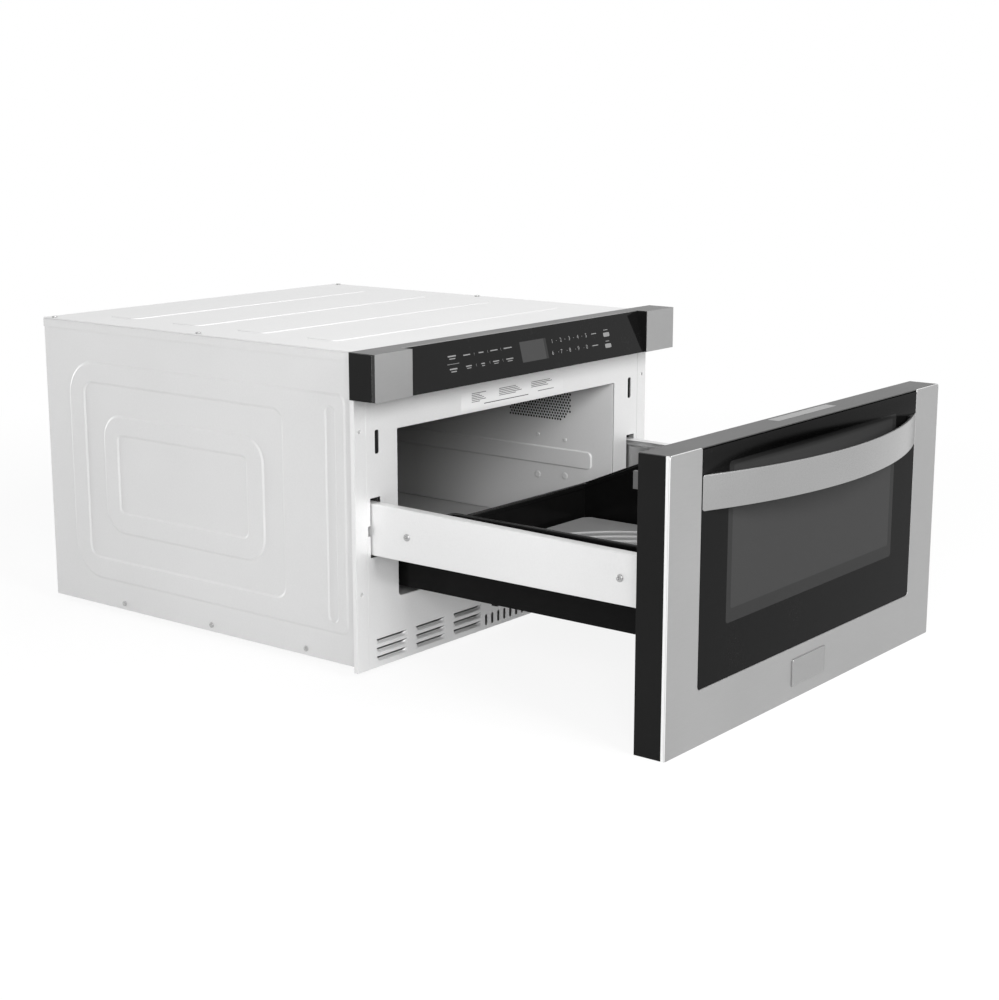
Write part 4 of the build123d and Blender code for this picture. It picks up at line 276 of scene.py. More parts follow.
def sheet(plane, outline, thickness, features=(), roll=0.5):
    """A closed sheet: rolled outer edge, flats and features, and its back skin. Millimetres."""
    radius = roll * MM
    rings = [lift(plane, inset(outline, radius * (1 - np.cos(t))), -radius * (1 - np.sin(t)))
             for t in np.linspace(0, np.pi / 2, ROLL_STEPS)]
    parts = [band(rings)] + region(plane, inset(outline, radius), 0.0, features)
    return thickened(joined(parts), -np.cross(plane[1], plane[2]) * thickness * MM)


print("a step is", [round(soft_step(t), 3) for t in (0.25, 0.5, 0.75)], "high on its way up")

# %% Pieces that ride on the model's bodies
COSINE_60 = 0.5


def make_piece(name, part, material, body, stands_for=(), facing=()):
    """A mesh object from a part, riding on a body of the model. facing holds pairs of a material
    and a direction: a face within 60 degrees of the direction takes that material instead."""
    points, faces, smooth = part
    mesh = bpy.data.meshes.new(name)
    mesh.from_pydata(points.tolist(), [], faces.tolist())
    mesh.polygons.foreach_set("use_smooth", smooth)
    mesh.materials.append(material)
    side = face_normals(points, faces)
    number = np.zeros(len(faces), np.int32)
    for k, (other, direction) in enumerate(facing):
        mesh.materials.append(other)
        towards = side @ np.asarray(direction, float)
        number[towards > COSINE_60 * np.linalg.norm(side, axis=1)] = k + 1
    mesh.polygons.foreach_set("material_index", number)
    mesh.update()
    piece = linked(name, mesh)
    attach(piece, body)
    if stands_for:
        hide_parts(*stands_for)
    print(name, len(faces), "triangles")


# %% Planes of the model
def front_plane(y):
    """Looks out of the front: origin, first axis and second axis."""
    return ((0, y * MM, 0), (1, 0, 0), (0, 0, 1))


def right_plane(x):
    """Looks to the right."""
    return ((x * MM, 0, 0), (0, 1, 0), (0, 0, 1))


def top_plane(z):
    """Looks up."""
    return ((0, 0, z * MM), (1, 0, 0), (0, 1, 0))


print("a top plane looks along", np.cross(*top_plane(0)[1:]))

# %% [markdown]
# ## Finishes
# Blender's shader nodes make a finish from noise and numbers, so it needs no picture file. What
# several finishes share is kept in node groups: soft edges, grain and wear. Each finish then
# sets its own colour, gloss and scale. Coordinates are the object's own, in metres.

# %% Small helpers for node trees
def fed(tree, node, sockets):
    """A node with its inputs filled: a socket is linked, any other value is set."""
    for name, value in sockets.items():
        if isinstance(value, bpy.types.NodeSocket):
            tree.links.new(value, node.inputs[name])
        else:
            node.inputs[name].default_value = value
    return node


def put(tree, kind, sockets=None, **settings):
    """A new shader node in a tree."""
    node = tree.nodes.new("ShaderNode" + kind)
    for name, value in settings.items():
        setattr(node, name, value)
    return fed(tree, node, sockets or {})


def use(tree, group, **sockets):
    """A copy of a node group in a tree."""
    node = tree.nodes.new("ShaderNodeGroup")
    node.node_tree = group
    return fed(tree, node, sockets).outputs


def maths(tree, operation, first, second=0.0):
    """One sum of two numbers or sockets."""
    return put(tree, "Math", {0: first, 1: second}, operation=operation).outputs[0]


def plus(tree, first, second):
    """first + second."""
    return maths(tree, "ADD", first, second)


def times(tree, first, second):
    """first * second."""
    return maths(tree, "MULTIPLY", first, second)


def squares(tree, first, second):
    """first * first + second * second."""
    return plus(tree, times(tree, first, first), times(tree, second, second))


print("sums of numbers ready")


# %% Helpers for vectors, colours and noise
def vectors(tree, operation, *values):
    """One sum of vectors, whose result is a number for a dot product or a length."""
    node = put(tree, "VectorMath", dict(enumerate(values)), operation=operation)
    return node.outputs["Value" if operation in ("DOT_PRODUCT", "LENGTH") else "Vector"]


def blended(tree, share, first, second):
    """Colour between two colours or sockets by a share."""
    return put(tree, "Mix", {0: share, 6: first, 7: second}, data_type="RGBA").outputs[2]


def ranged(tree, value, low, high, to_low, to_high):
    """A value carried from one range to another, kept inside it."""
    return put(tree, "MapRange", {0: value, 1: low, 2: high, 3: to_low, 4: to_high}).outputs[0]


def noise(tree, place, scale, **sockets):
    """A cloudy value between 0 and 1, with scale waves to the metre."""
    return put(tree, "TexNoise", {"Vector": place, "Scale": scale, **sockets}).outputs[0]


def own_place(tree):
    """The place on the object, in metres."""
    return put(tree, "TexCoord").outputs["Object"]


def split(tree, vector):
    """A vector's X, Y and Z."""
    return put(tree, "SeparateXYZ", {0: vector}).outputs


print("vectors, colours and noise ready")

# %% Empty trees and groups
FLOAT, VECTOR = "NodeSocketFloat", "NodeSocketVector"


def blank_tree(holder):
    """The emptied node tree of a material or a world."""
    holder.use_nodes = True
    holder.node_tree.nodes.clear()
    return holder.node_tree


def group_tree(name, inputs, outputs):
    """An empty node group with its named inputs and outputs."""
    tree = bpy.data.node_groups.new(name, "ShaderNodeTree")
    for label, kind, value in inputs:
        socket = tree.interface.new_socket(label, in_out="INPUT", socket_type=kind)
        socket.default_value = value
    for label, kind in outputs:
        tree.interface.new_socket(label, in_out="OUTPUT", socket_type=kind)
    given, wanted = tree.nodes.new("NodeGroupInput"), tree.nodes.new("NodeGroupOutput")
    return tree, given.outputs, wanted.inputs


print("empty trees ready")

# %% [markdown]
# No real edge is a knife's edge. The Bevel node looks at the surfaces round a point and turns the
# normal as a small radius would, so an edge catches a thin line of light. How far it turned is
# also where paint and plating wear first, and the group gives both.

# %% Group: soft edges
edge_group, given, wanted = group_tree(
    "soft_edges", [("Radius", FLOAT, 0.0006)], [("Normal", VECTOR), ("Edge", FLOAT)])
bevel = put(edge_group, "Bevel", {"Radius": given["Radius"]}, samples=4).outputs[0]
plain_normal = put(edge_group, "NewGeometry").outputs["Normal"]
likeness = vectors(edge_group, "DOT_PRODUCT", bevel, plain_normal)
edge_group.links.new(bevel, wanted["Normal"])
edge_group.links.new(ranged(edge_group, likeness, 0.99, 0.75, 0.0, 1.0), wanted["Edge"])
print(edge_group.name, "ready")

# %% [markdown]
# Grain is noise stretched along one direction: evenly for cast and painted surfaces, sixty times
# longer than wide for brushed steel. A second, slow noise gives the mottling that any large
# sheet has. The group gives both as values between 0 and 1.

# %% Group: grain
grain_group, given, wanted = group_tree(
    "grain",
    [("Stretch", VECTOR, (1.0, 1.0, 1.0)), ("Scale", FLOAT, 800.0), ("Mottle", FLOAT, 9.0)],
    [("Fine", FLOAT), ("Slow", FLOAT)])
place = own_place(grain_group)
stretched = vectors(grain_group, "MULTIPLY", place, given["Stretch"])
fine = noise(grain_group, stretched, given["Scale"], Detail=3.0, Roughness=0.6)
slow = noise(grain_group, place, given["Mottle"], Detail=2.0)
grain_group.links.new(fine, wanted["Fine"])
grain_group.links.new(slow, wanted["Slow"])
print(grain_group.name, "ready")

# %% [markdown]
# Handling leaves a few fine marks and some dust on everything. Two noises multiplied and cut off
# high leave scattered specks, which lift the roughness and pale the colour a little.

# %% Group: specks
speck_group, given, wanted = group_tree(
    "specks", [("Scale", FLOAT, 260.0), ("Amount", FLOAT, 0.5)], [("Mask", FLOAT)])
place = own_place(speck_group)
both = times(speck_group, noise(speck_group, place, given["Scale"], Detail=2.0),
             noise(speck_group, place, 14.0, Detail=1.0))
specks = times(speck_group, ranged(speck_group, both, 0.34, 0.42, 0.0, 1.0), given["Amount"])
speck_group.links.new(specks, wanted["Mask"])
print(speck_group.name, "ready")

# %% [markdown]
# A finish is a Principled BSDF fed by those groups. Paint, plating, plastic and brushed steel
# differ only in numbers, so one function builds them. The numbers that are the same all over a
# surface are set on the shader's own sockets.

# %% The end of every finish
BUMP_DISTANCE = 0.0004


def grey(level):
    """A neutral colour. A colour, or none, stays as it is."""
    return level if level is None or isinstance(level, tuple) else (level, level, level, 1.0)


def surfaced(tree, tint, rough, grains, edges, bump, **sockets):
    """The end of a finish: its grain as a bump on the soft edges, and its one shader. An
    underscore in a socket's name stands for a space."""
    ripple = put(tree, "Bump", {"Strength": bump, "Distance": BUMP_DISTANCE,
                                "Height": grains["Fine"], "Normal": edges["Normal"]})
    named = {label.replace("_", " "): value for label, value in sockets.items()}
    principled = put(tree, "BsdfPrincipled", {"Base Color": tint, "Roughness": rough,
                                              "Normal": ripple.outputs[0], **named})
    put(tree, "OutputMaterial", {0: principled.outputs[0]})


print("a middle grey is", grey(0.5))

# %% The finish function
OVEN_FRONT, OVEN_BACK = -0.28, 0.07


def finish(name, colour, metallic, roughness, scale=800.0, stretch=(1, 1, 1), bump=0.05,
           tone=0.06, rough_spread=0.05, edge=0.5, wear=None, wear_share=0.5, dust=0.3,
           top=None, sides=None, oven_back_shade=None, **shader):
    """A material: colour varied by grain and mottling, worn towards another colour at its edges,
    with matching roughness and a fine bump. top and sides are painted light and shade: the colours
    of what faces those ways. The colour it reaches far back in the oven is painted shade. A number
    is a grey."""
    material = bpy.data.materials.new(name)
    tree = blank_tree(material)
    edges = use(tree, edge_group, Radius=edge * MM)
    grains = use(tree, grain_group, Stretch=stretch, Scale=scale)
    specks = use(tree, speck_group, Amount=dust)["Mask"]
    mixed = plus(tree, times(tree, grains["Fine"], 0.6), times(tree, grains["Slow"], 0.4))
    darker, paler = (tuple(min(1.0, c * (1 + change)) for c in grey(colour)[:3]) + (1.0,)
                     for change in (-tone, tone))
    tint = blended(tree, ranged(tree, mixed, 0.35, 0.65, 0.0, 1.0), darker, paler)
    # Painted light and shade: faces that look up or down, or to the sides, take another colour.
    for other, axis in ((grey(top), 2), (grey(sides), 0)):
        if other:
            normal = split(tree, put(tree, "NewGeometry").outputs["Normal"])
            facing = ranged(tree, maths(tree, "ABSOLUTE", normal[axis]), 0.7, 0.9, 0.0, 1.0)
            tint = blended(tree, facing, tint, other)
    # Painted shade: the colour darkens towards the back of the oven.
    if oven_back_shade:
        back = ranged(tree, split(tree, own_place(tree))[1], OVEN_FRONT, OVEN_BACK, 0.0, 1.0)
        tint = blended(tree, back, tint, grey(oven_back_shade))
    if wear:
        worn = times(tree, edges["Edge"], ranged(tree, grains["Slow"], 0.35, 0.6, 0.3, 1.0))
        tint = blended(tree, times(tree, worn, wear_share), tint, grey(wear))
    tint = blended(tree, times(tree, specks, 0.25), tint, grey(0.55))
    rough = ranged(tree, mixed, 0.3, 0.7, roughness - rough_spread, roughness + rough_spread)
    rough = plus(tree, rough, times(tree, specks, 0.12))
    surfaced(tree, tint, rough, grains, edges, bump, Metallic=metallic, **shader)
    return material


BRUSHED = dict(scale=70, stretch=(1.0, 60.0, 60.0))
TRIM = dict(BRUSHED, bump=0.06, tone=0.05, rough_spread=0.06, edge=0.3, wear_share=0.6, dust=0.05)
print("finish function ready")

# %% [markdown]
# The casing is bare galvanised sheet, so it is half metal in look: pale, satin and a little
# mottled. The door, panel trim and handle are stainless steel ground lengthwise, which shows as
# hair-thin streaks along X. Black parts differ mainly in gloss: glass, enamel, plastic and a
# painted sheet have nearly the same colour.

# %% Finishes of the model's slots
finishes = {
    "casing_steel": finish("galvanised_sheet", 0.76, 0.3, 0.42, scale=420, bump=0.04, tone=0.018,
                           edge=0.4, wear=0.9, wear_share=0.3, dust=0.15),
    "zinc_screw": finish("plated_screw", 0.42, 0.9, 0.32, scale=900, tone=0.05, edge=0.3,
                         wear=0.8),
    # Painted shade: the oven paint's floor, ceiling and far back are painted darker.
    "cavity_enamel": finish("oven_paint_with_painted_shade", 0.82, 0.0, 0.42, scale=1500, bump=0.12, tone=0.03,
                            edge=1.2, dust=0.2, top=0.42, oven_back_shade=0.27),
    "label_white": finish("white_label_stock", 0.77, 0.0, 0.5, scale=2500, bump=0.02, tone=0.01,
                          edge=0.05),
    "label_silver": finish("silver_label_stock", 0.3, 0.3, 0.5, scale=2000, bump=0.02, tone=0.02,
                           edge=0.05),
    "black_housing": finish("black_moulding", 0.009, 0.0, 0.46, scale=2600, bump=0.1, tone=0.1,
                            edge=0.8, wear=0.03, wear_share=0.3, dust=0.0,
                            Specular_IOR_Level=0.08),
    "black_glass": finish("control_glass", 0.008, 0.0, 0.06, scale=12, bump=0.004, tone=0.05,
                          rough_spread=0.02, dust=0.03, Specular_IOR_Level=0.12),
    "black_sheet": finish("black_painted_sheet", 0.012, 0.0, 0.36, scale=1400, bump=0.08,
                          tone=0.1, edge=0.6, wear=0.05, wear_share=0.3, dust=0.05,
                          Specular_IOR_Level=0.15),
    "black_enamel": finish("black_enamel", 0.006, 0.0, 0.13, scale=60, bump=0.03, tone=0.1,
                           rough_spread=0.03, edge=1.4, wear=0.04, wear_share=0.2, dust=0.0,
                           Specular_IOR_Level=0.05),
    "stainless": finish("brushed_stainless", 0.47, 1.0, 0.3, **BRUSHED, bump=0.06, tone=0.05,
                        rough_spread=0.06, wear=0.68, dust=0.1),
    "display_glass": finish("display_window", 0.06, 0.0, 0.16, scale=20, bump=0.004, tone=0.05,
                            edge=0.2, dust=0.05, Specular_IOR_Level=0.4),
    "clear_glass": finish("clear_glass", 0.9, 0.0, 0.03, scale=15, bump=0.003, tone=0.01,
                          rough_spread=0.02, edge=0.3, dust=0.05, Transmission_Weight=0.92),
    "tray_ceramic": finish("tray_glass_ceramic", 0.56, 0.0, 0.2, scale=900, bump=0.03, tone=0.02,
                           rough_spread=0.04, edge=0.8, Coat_Weight=0.2),
    "board_laminate": finish("green_laminate", (0.02, 0.13, 0.06, 1), 0.0, 0.35, scale=350,
                             bump=0.1, tone=0.35, edge=0.3, wear=(0.35, 0.3, 0.16, 1)),
    "slide_steel": finish("zinc_slide", 0.42, 0.85, 0.34, scale=50, stretch=(40, 1, 40),
                          wear=0.82),
    "motor_steel": finish("motor_case", 0.5, 0.9, 0.36, scale=600, bump=0.08, tone=0.08,
                          edge=0.8, wear=0.75),
    "core_steel": finish("stacked_laminations", 0.16, 0.8, 0.42, scale=40, stretch=(1, 60, 1),
                         bump=0.5, tone=0.25, edge=0.4, wear=0.4),
    "can_aluminium": finish("aluminium", 0.74, 0.95, 0.28, scale=500, stretch=(1, 1, 8),
                            tone=0.04, edge=0.6, wear=0.88),
    "mica_sheet": finish("mica", (0.42, 0.36, 0.27, 1), 0.15, 0.38, scale=180,
                         stretch=(1, 5, 1), bump=0.2, tone=0.15, edge=0.2),
    "switch_plastic": finish("switch_moulding", 0.03, 0.0, 0.45, scale=2200, bump=0.1,
                             tone=0.12, wear=0.08, wear_share=0.3),
    "duct_plastic": finish("duct_moulding", (0.34, 0.35, 0.36, 1), 0.0, 0.5, scale=1600,
                           bump=0.1, tone=0.05, edge=0.8, wear=0.5, wear_share=0.2),
    "gear_plastic": finish("gear_nylon", (0.76, 0.74, 0.68, 1), 0.0, 0.38, scale=1200,
                           tone=0.03, edge=0.3, Subsurface_Weight=0.05),
    "latch_plastic": finish("latch_moulding", 0.1, 0.0, 0.4, scale=1500, bump=0.06, tone=0.03,
                            edge=0.6),
}
print(len(finishes), "finishes of slots")

# %% [markdown]
# One slot can hold pieces that look different, so a few get a finish of their own: here a
# near-black sheet, painted shade for the inside of the sheets and for brackets in shade, and the
# control panel's trim, whose top and ends are painted shade, and later each of the others with its
# piece.

# %% Painted shade for sheets, and the panel's trim
# Painted shade: sheet metal that stands in shade is painted near-black.
unlit_sheet = finish("inside_of_sheet", 0.045, 0.0, 0.6, scale=420, bump=0.04, tone=0.05,
                     edge=0.2, dust=0.05, Specular_IOR_Level=0.1)
# Painted shade: the trim's top and ends are painted near-black.
panel_trim = finish("trim_steel_painted_dark_top", 0.34, 0.4, 0.4, **TRIM, wear=0.7, top=0.07, sides=0.02)
print(unlit_sheet.name, panel_trim.name)

# %% [markdown]
# The door's glass is one black-printed pane. A window is left clear in the print, and behind it a
# perforated sheet keeps the microwaves in, so the window looks like fine grey cloth under gloss.
# A rounded zone worked out from X and Z marks the window, and rows of dots mark the holes. A soft
# dark patch above the window stands for the shade over the handle.

# %% Group: a rounded zone on the front
ZONE_BORDER = 0.0003
zone_group, given, wanted = group_tree(
    "rounded_zone",
    [("Middle", VECTOR, (0, 0, 0)), ("Half", VECTOR, (0.1, 0.1, 0.1)), ("Corner", FLOAT, 0.003)],
    [("Mask", FLOAT)])
away = vectors(zone_group, "SUBTRACT", own_place(zone_group), given["Middle"])
away = vectors(zone_group, "SUBTRACT", vectors(zone_group, "ABSOLUTE", away), given["Half"])
parts = split(zone_group, away)
over_x, over_z = (maths(zone_group, "MAXIMUM", plus(zone_group, part, given["Corner"]), 0.0)
                  for part in (parts[0], parts[2]))
reach = maths(zone_group, "SQRT", squares(zone_group, over_x, over_z))
past = maths(zone_group, "SUBTRACT", reach, given["Corner"])
zone_group.links.new(ranged(zone_group, past, -ZONE_BORDER, ZONE_BORDER, 1.0, 0.0),
                     wanted["Mask"])
print(zone_group.name, "ready")


# %% One zone in a material
def zone(tree, across, up, half_width, half_height, corner):
    """The mask of one zone, in metres."""
    return use(tree, zone_group, Middle=(across, 0, up), Half=(half_width, 1, half_height),
               Corner=corner)["Mask"]


print("zones take metres")

# %% The door glass
DOTS = 3141.6
PATCH_HEIGHT, PATCH_HALF_WIDTH, PATCH_HALF_HEIGHT = 0.2985, 0.25, 0.016


def door_glass():
    """Black print outside the window; inside it a screen of dots two millimetres apart: the sine
    of X times the sine of Z, both times DOTS, is positive where a hole shows."""
    material = bpy.data.materials.new("door_glass")
    tree = blank_tree(material)
    edges = use(tree, edge_group, Radius=0.0006)
    grains = use(tree, grain_group, Scale=14.0)
    specks = use(tree, speck_group, Amount=0.03)["Mask"]
    window = zone(tree, 0, 0.20125, 0.19, 0.08775, 0.004)
    clear = zone(tree, 0, 0.2065, 0.181, 0.078, 0.003)
    x, _, z = split(tree, own_place(tree))
    waves = times(tree, maths(tree, "SINE", times(tree, x, DOTS)),
                  maths(tree, "SINE", times(tree, z, DOTS)))
    dots = times(tree, ranged(tree, waves, -0.1, 0.3, 0.0, 1.0), 0.35)
    screen = blended(tree, dots, blended(tree, clear, grey(0.03), grey(0.045)), grey(0.03))
    tint = blended(tree, window, grey(0.006), screen)
    across = maths(tree, "DIVIDE", x, PATCH_HALF_WIDTH)
    upward = maths(tree, "DIVIDE", maths(tree, "SUBTRACT", z, PATCH_HEIGHT), PATCH_HALF_HEIGHT)
    patch = ranged(tree, squares(tree, across, upward), 0.2, 1.5, 1.0, 0.0)
    tint = blended(tree, patch, tint, grey(0.001))
    tint = blended(tree, times(tree, specks, 0.1), tint, grey(0.4))
    rough = plus(tree, ranged(tree, grains["Slow"], 0.3, 0.7, 0.13, 0.18),
                 times(tree, specks, 0.1))
    surfaced(tree, tint, rough, grains, edges, 0.004, Specular_IOR_Level=0.036)
    return material


door_pane = door_glass()
print(door_pane.name, "ready")

# %% [markdown]
# The control pane is the same black glass with one paler zone over the display.

# %% The control glass
def light_display(material):
    """Two zones, the display and its right edge, blended over the finish's own colour."""
    tree = material.node_tree
    base = tree.nodes["Principled BSDF"].inputs["Base Color"]
    display = zone(tree, 0.0015, 0.351, 0.0245, 0.0124, 0.0008)
    right_edge = zone(tree, 0.0283, 0.351, 0.0022, 0.0124, 0.0005)
    tint = blended(tree, display, base.links[0].from_socket, grey(0.06))
    tree.links.new(blended(tree, right_edge, tint, grey(0.035)), base)


light_display(finishes["black_glass"])
print("display in", finishes["black_glass"].name)

# %% Dress every node of the model
for node in nodes.values():
    for place in node.material_slots:
        place.material = finishes[place.material.name.split(".")[0]]
nodes["control_panel_trim"].material_slots[0].material = panel_trim
# Painted shade: the steel brackets seen through the openings are painted near-black.
for name in ("rail_brackets", "interlock_brackets"):
    nodes[name].material_slots[0].material = unlit_sheet
print("dressed", len(nodes), "nodes")

# %% [markdown]
# ## Sizes that the sheets share
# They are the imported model's own, in millimetres, so that each sheet lies where its solid does.

# %% Shared sizes
FACE, REAR = -283.0, 283.0
PANEL_FRONT = -281.8
CASE_SIDE, CASE_TOP, COVER_SIDE, COVER_TOP = 278.75, 374.5, 279.75, 375.5
DOOR_FACE, DOOR_BACK = -714.4, -675.8
DOOR_HALF, DOOR_LOW, DOOR_TOP = 303.0, -9.0, 311.0
ARM_SIDE, ARM_INNER, ARM_REAR = 268.5, 255.5, -227.0
WALL_SIDE = 221.1
print("casing", 2 * CASE_SIDE, "mm wide, drawer front", 2 * DOOR_HALF, "mm wide")

# %% [markdown]
# ## Side panels
# A plain sheet this large would drum, so each side is pressed: a raised plateau, a sunk pocket in
# it, a raised ring in the pocket and an upright groove near the front. Each form is one outline
# and a sloped wall. The walls catch the light as thin bright and dark lines. The sides stand in
# stronger light than the front and the top, so their sheet is painted a little greyer: painted
# shade on the same galvanised sheet. Their inner faces are painted near-black, also painted shade.

# %% Side panels
# Painted shade: the sides' sheet is a greyer copy of the galvanised sheet.
side_sheet = finish("galvanised_side_sheet", 0.69, 0.12, 0.5, scale=420, tone=0.02, edge=0.4,
                    wear=0.88, wear_share=0.3, dust=0.12)
SLOPE, GROOVE_SLOPE, DEPTH = 3.8, 3.0, 1.6
ring_floor = press(rectangle(-90, 145, 131, 233, 8), SLOPE, -DEPTH)
ring = press(rectangle(-118, 171, 104, 258, 32, 12), SLOPE, DEPTH, ring_floor)
pocket = press(rectangle(-152, 207, 65, 297.5, 16, 8), SLOPE, -DEPTH, ring)
groove = press(rectangle(-238, -223, 50, 309, 7.2, 8), GROOVE_SLOPE, -DEPTH)
plateau = press(rectangle(-252.5, 235.5, 37.5, 323.5, [10, 47, 47, 10], 14), SLOPE, DEPTH,
                groove, pocket)
panel = sheet(right_plane(CASE_SIDE), rectangle(PANEL_FRONT, REAR, 0, CASE_TOP, 1), 1.0,
              [plateau])
for side, part, inwards in (("right", panel, -1), ("left", mirrored(panel), 1)):
    make_piece("pressed_" + side + "_side", part, side_sheet, "cabinet",
               [side + "_side_panel"], facing=[(unlit_sheet, (inwards, 0, 0))])

# %% [markdown]
# ## Top cover
# The cover drops over the sides with a short lip. Four wide bands pressed up in it stiffen it.

# %% Top cover
casing = finishes["casing_steel"]
BAND_HALF = 26.5
bands = [press(rectangle(-225, 225, middle - BAND_HALF, middle + BAND_HALF, 12, 8), 1.6, 0.9)
         for middle in (-163.5, -45, 73.5, 192)]
cover_top = sheet(top_plane(COVER_TOP), rectangle(-COVER_SIDE, COVER_SIDE, PANEL_FRONT, REAR, 0.8),
                  1.0, bands, roll=0.8)
lip = sheet(right_plane(COVER_SIDE), rectangle(PANEL_FRONT, REAR, 363.5, 373.66, 0.2), 1.0,
            roll=0.05)
# Painted shade: the lip takes the sides' greyer sheet.
make_piece("banded_top_cover", joined([cover_top, lip, mirrored(lip)]), casing, "cabinet",
           ["top_cover"],
           facing=[(side_sheet, (1, 0, 0)), (side_sheet, (-1, 0, 0))])

# %% [markdown]
# ## Face plate
# Everything in the face is punched from one sheet: the oven mouth, openings for the arms, slots
# for the latch hooks and the air slots. Each long louvre is cut along its upper edge only, and
# the strip below the cut is pushed in, so air passes and a finger doesn't.

# %% Openings in the face
LOUVRE_HALF, LOUVRE_LOW, LOUVRE_HIGH = 27.5, -4.6, 1.6

arm_right = corners_rounded([(252.3, 134.0), (270.5, 134.0), (270.5, 160.5), (274.5, 160.5),
                             (274.5, 172.5), (270.5, 172.5), (270.5, 205.0), (252.3, 205.0)],
                            0.9, 4)
arm_left = arm_right[::-1] * np.array([-1, 1])
openings = [hole(rectangle(-222, 222, 79, 281, [5, 5, 1.5, 1.5], 8), 0.5), hole(arm_right),
            hole(arm_left)]
openings += [hole(rectangle(left, right, 256.2, 284.2, 2.0), 0.15)
             for left, right in ((253.9, 261.1), (-261.1, -253.9))]
openings += [hole(rectangle(middle - 2.5, middle + 2.5, 5.2, 19.2, 2.2, 5), 0.15)
             for middle in -55.8 + 12.4 * np.arange(10)]
louvre_places = [(side * (164.5 + 71 * column), 22 + 10.6 * row)
                 for side in (-1, 1) for column in (-1, 0, 1) for row in (-1, 0, 1)]
openings += [hole(rectangle(x - LOUVRE_HALF, x + LOUVRE_HALF, z + LOUVRE_LOW, z + LOUVRE_HIGH,
                            1.0, 4), 0.3) for x, z in louvre_places]
print(len(openings), "openings")

# %% Louvre tongues
LEAST_DEPTH, MORE_DEPTH, SOFT_END, LEAST_GAP, MORE_GAP = 0.3, 3.2, 7.0, 0.4, 3.0


def tongue(across, middle):
    """The pushed-in strip: depth = 0.3 + 3.2 * s(v) * s(e) millimetres, where s(t) is the soft
    step, v runs up the strip from 0 to 1, and e from 0 at either end to 1 seven millimetres in.
    The strip stops 0.4 + 3 * s(e) millimetres under the cut, which leaves the dark air gap and
    closes it at the ends."""
    u = (1 - np.cos(np.linspace(0, np.pi, 41))) / 2
    v = np.linspace(0, 1, 9)[:, None]
    ends = np.clip(np.minimum(u, 1 - u) * 2 * LOUVRE_HALF / SOFT_END, 0, 1)
    soft_ends = soft_step(ends)[None, :]
    depth = LEAST_DEPTH + MORE_DEPTH * soft_step(v) * soft_ends
    x = np.broadcast_to(across - LOUVRE_HALF + 2 * LOUVRE_HALF * u, depth.shape)
    height = LOUVRE_HIGH - LOUVRE_LOW - LEAST_GAP - MORE_GAP * soft_ends
    rows = np.stack([x, FACE + depth, middle + LOUVRE_LOW + height * v], axis=2) * MM
    return thickened(band(list(rows), closed=False), (0, 0.9 * MM, 0))


face = sheet(front_plane(FACE), rectangle(-276.5, 276.5, 0, CASE_TOP, 0.6), 1.2, openings,
             roll=0.4)
louvres = [tongue(x, z) for x, z in louvre_places]
# Painted shade: faces that look into the cabinet, the backs of the tongues among them, are painted
# near-black, so the air gaps look dark.
make_piece("pressed_face_plate", joined([face] + louvres), casing, "cabinet",
           ["face_plate"], facing=[(unlit_sheet, (0, 1, 0))])

# %% [markdown]
# ## Cooking tray
# The tray is a flat of glass ceramic with rings moulded on it, so that food sits above its juices.
# Rings inside each other are presses inside presses, up and down by turns.

# %% Cooking tray
TRAY_MIDDLE = -457.9
RING_WIDTH, RING_SLOPE, RING_HEIGHT, RING_POINTS = 5, 2.2, 1.5, 96
inner = ()
for radius in (94, 120, 146, 172, 198):
    dip = press(circle(0, TRAY_MIDDLE, radius - RING_WIDTH, RING_POINTS), RING_SLOPE,
                -RING_HEIGHT, *inner)
    inner = (press(circle(0, TRAY_MIDDLE, radius, RING_POINTS), RING_SLOPE, RING_HEIGHT, dip),)
tray = sheet(top_plane(95.5), rectangle(-205, 205, -665.3, -250.5, 14, 8), 4.5, inner, roll=1.6)
make_piece("ringed_tray", tray, finishes["tray_ceramic"], "drawer",
           ["cooking_tray"])

# %% [markdown]
# ## Handle
# The handle is a flat steel strap bent to a shallow bow and closed by solid feet. It is one
# cross-section carried along X: its outer face follows an arc, its inner face a second arc and
# then the door, and all four long edges are rounded.

# %% Handle
HANDLE_REACH, HANDLE_HALF, HANDLE_FOOT, FOOT_BEND = 47.0, 242.0, 26.0, 5
HANDLE_MIDDLE, HANDLE_HALF_HEIGHT, STRAP, END_CORNER, LONG_EDGE = 263.5, 19.0, 4, 4.0, 1.3


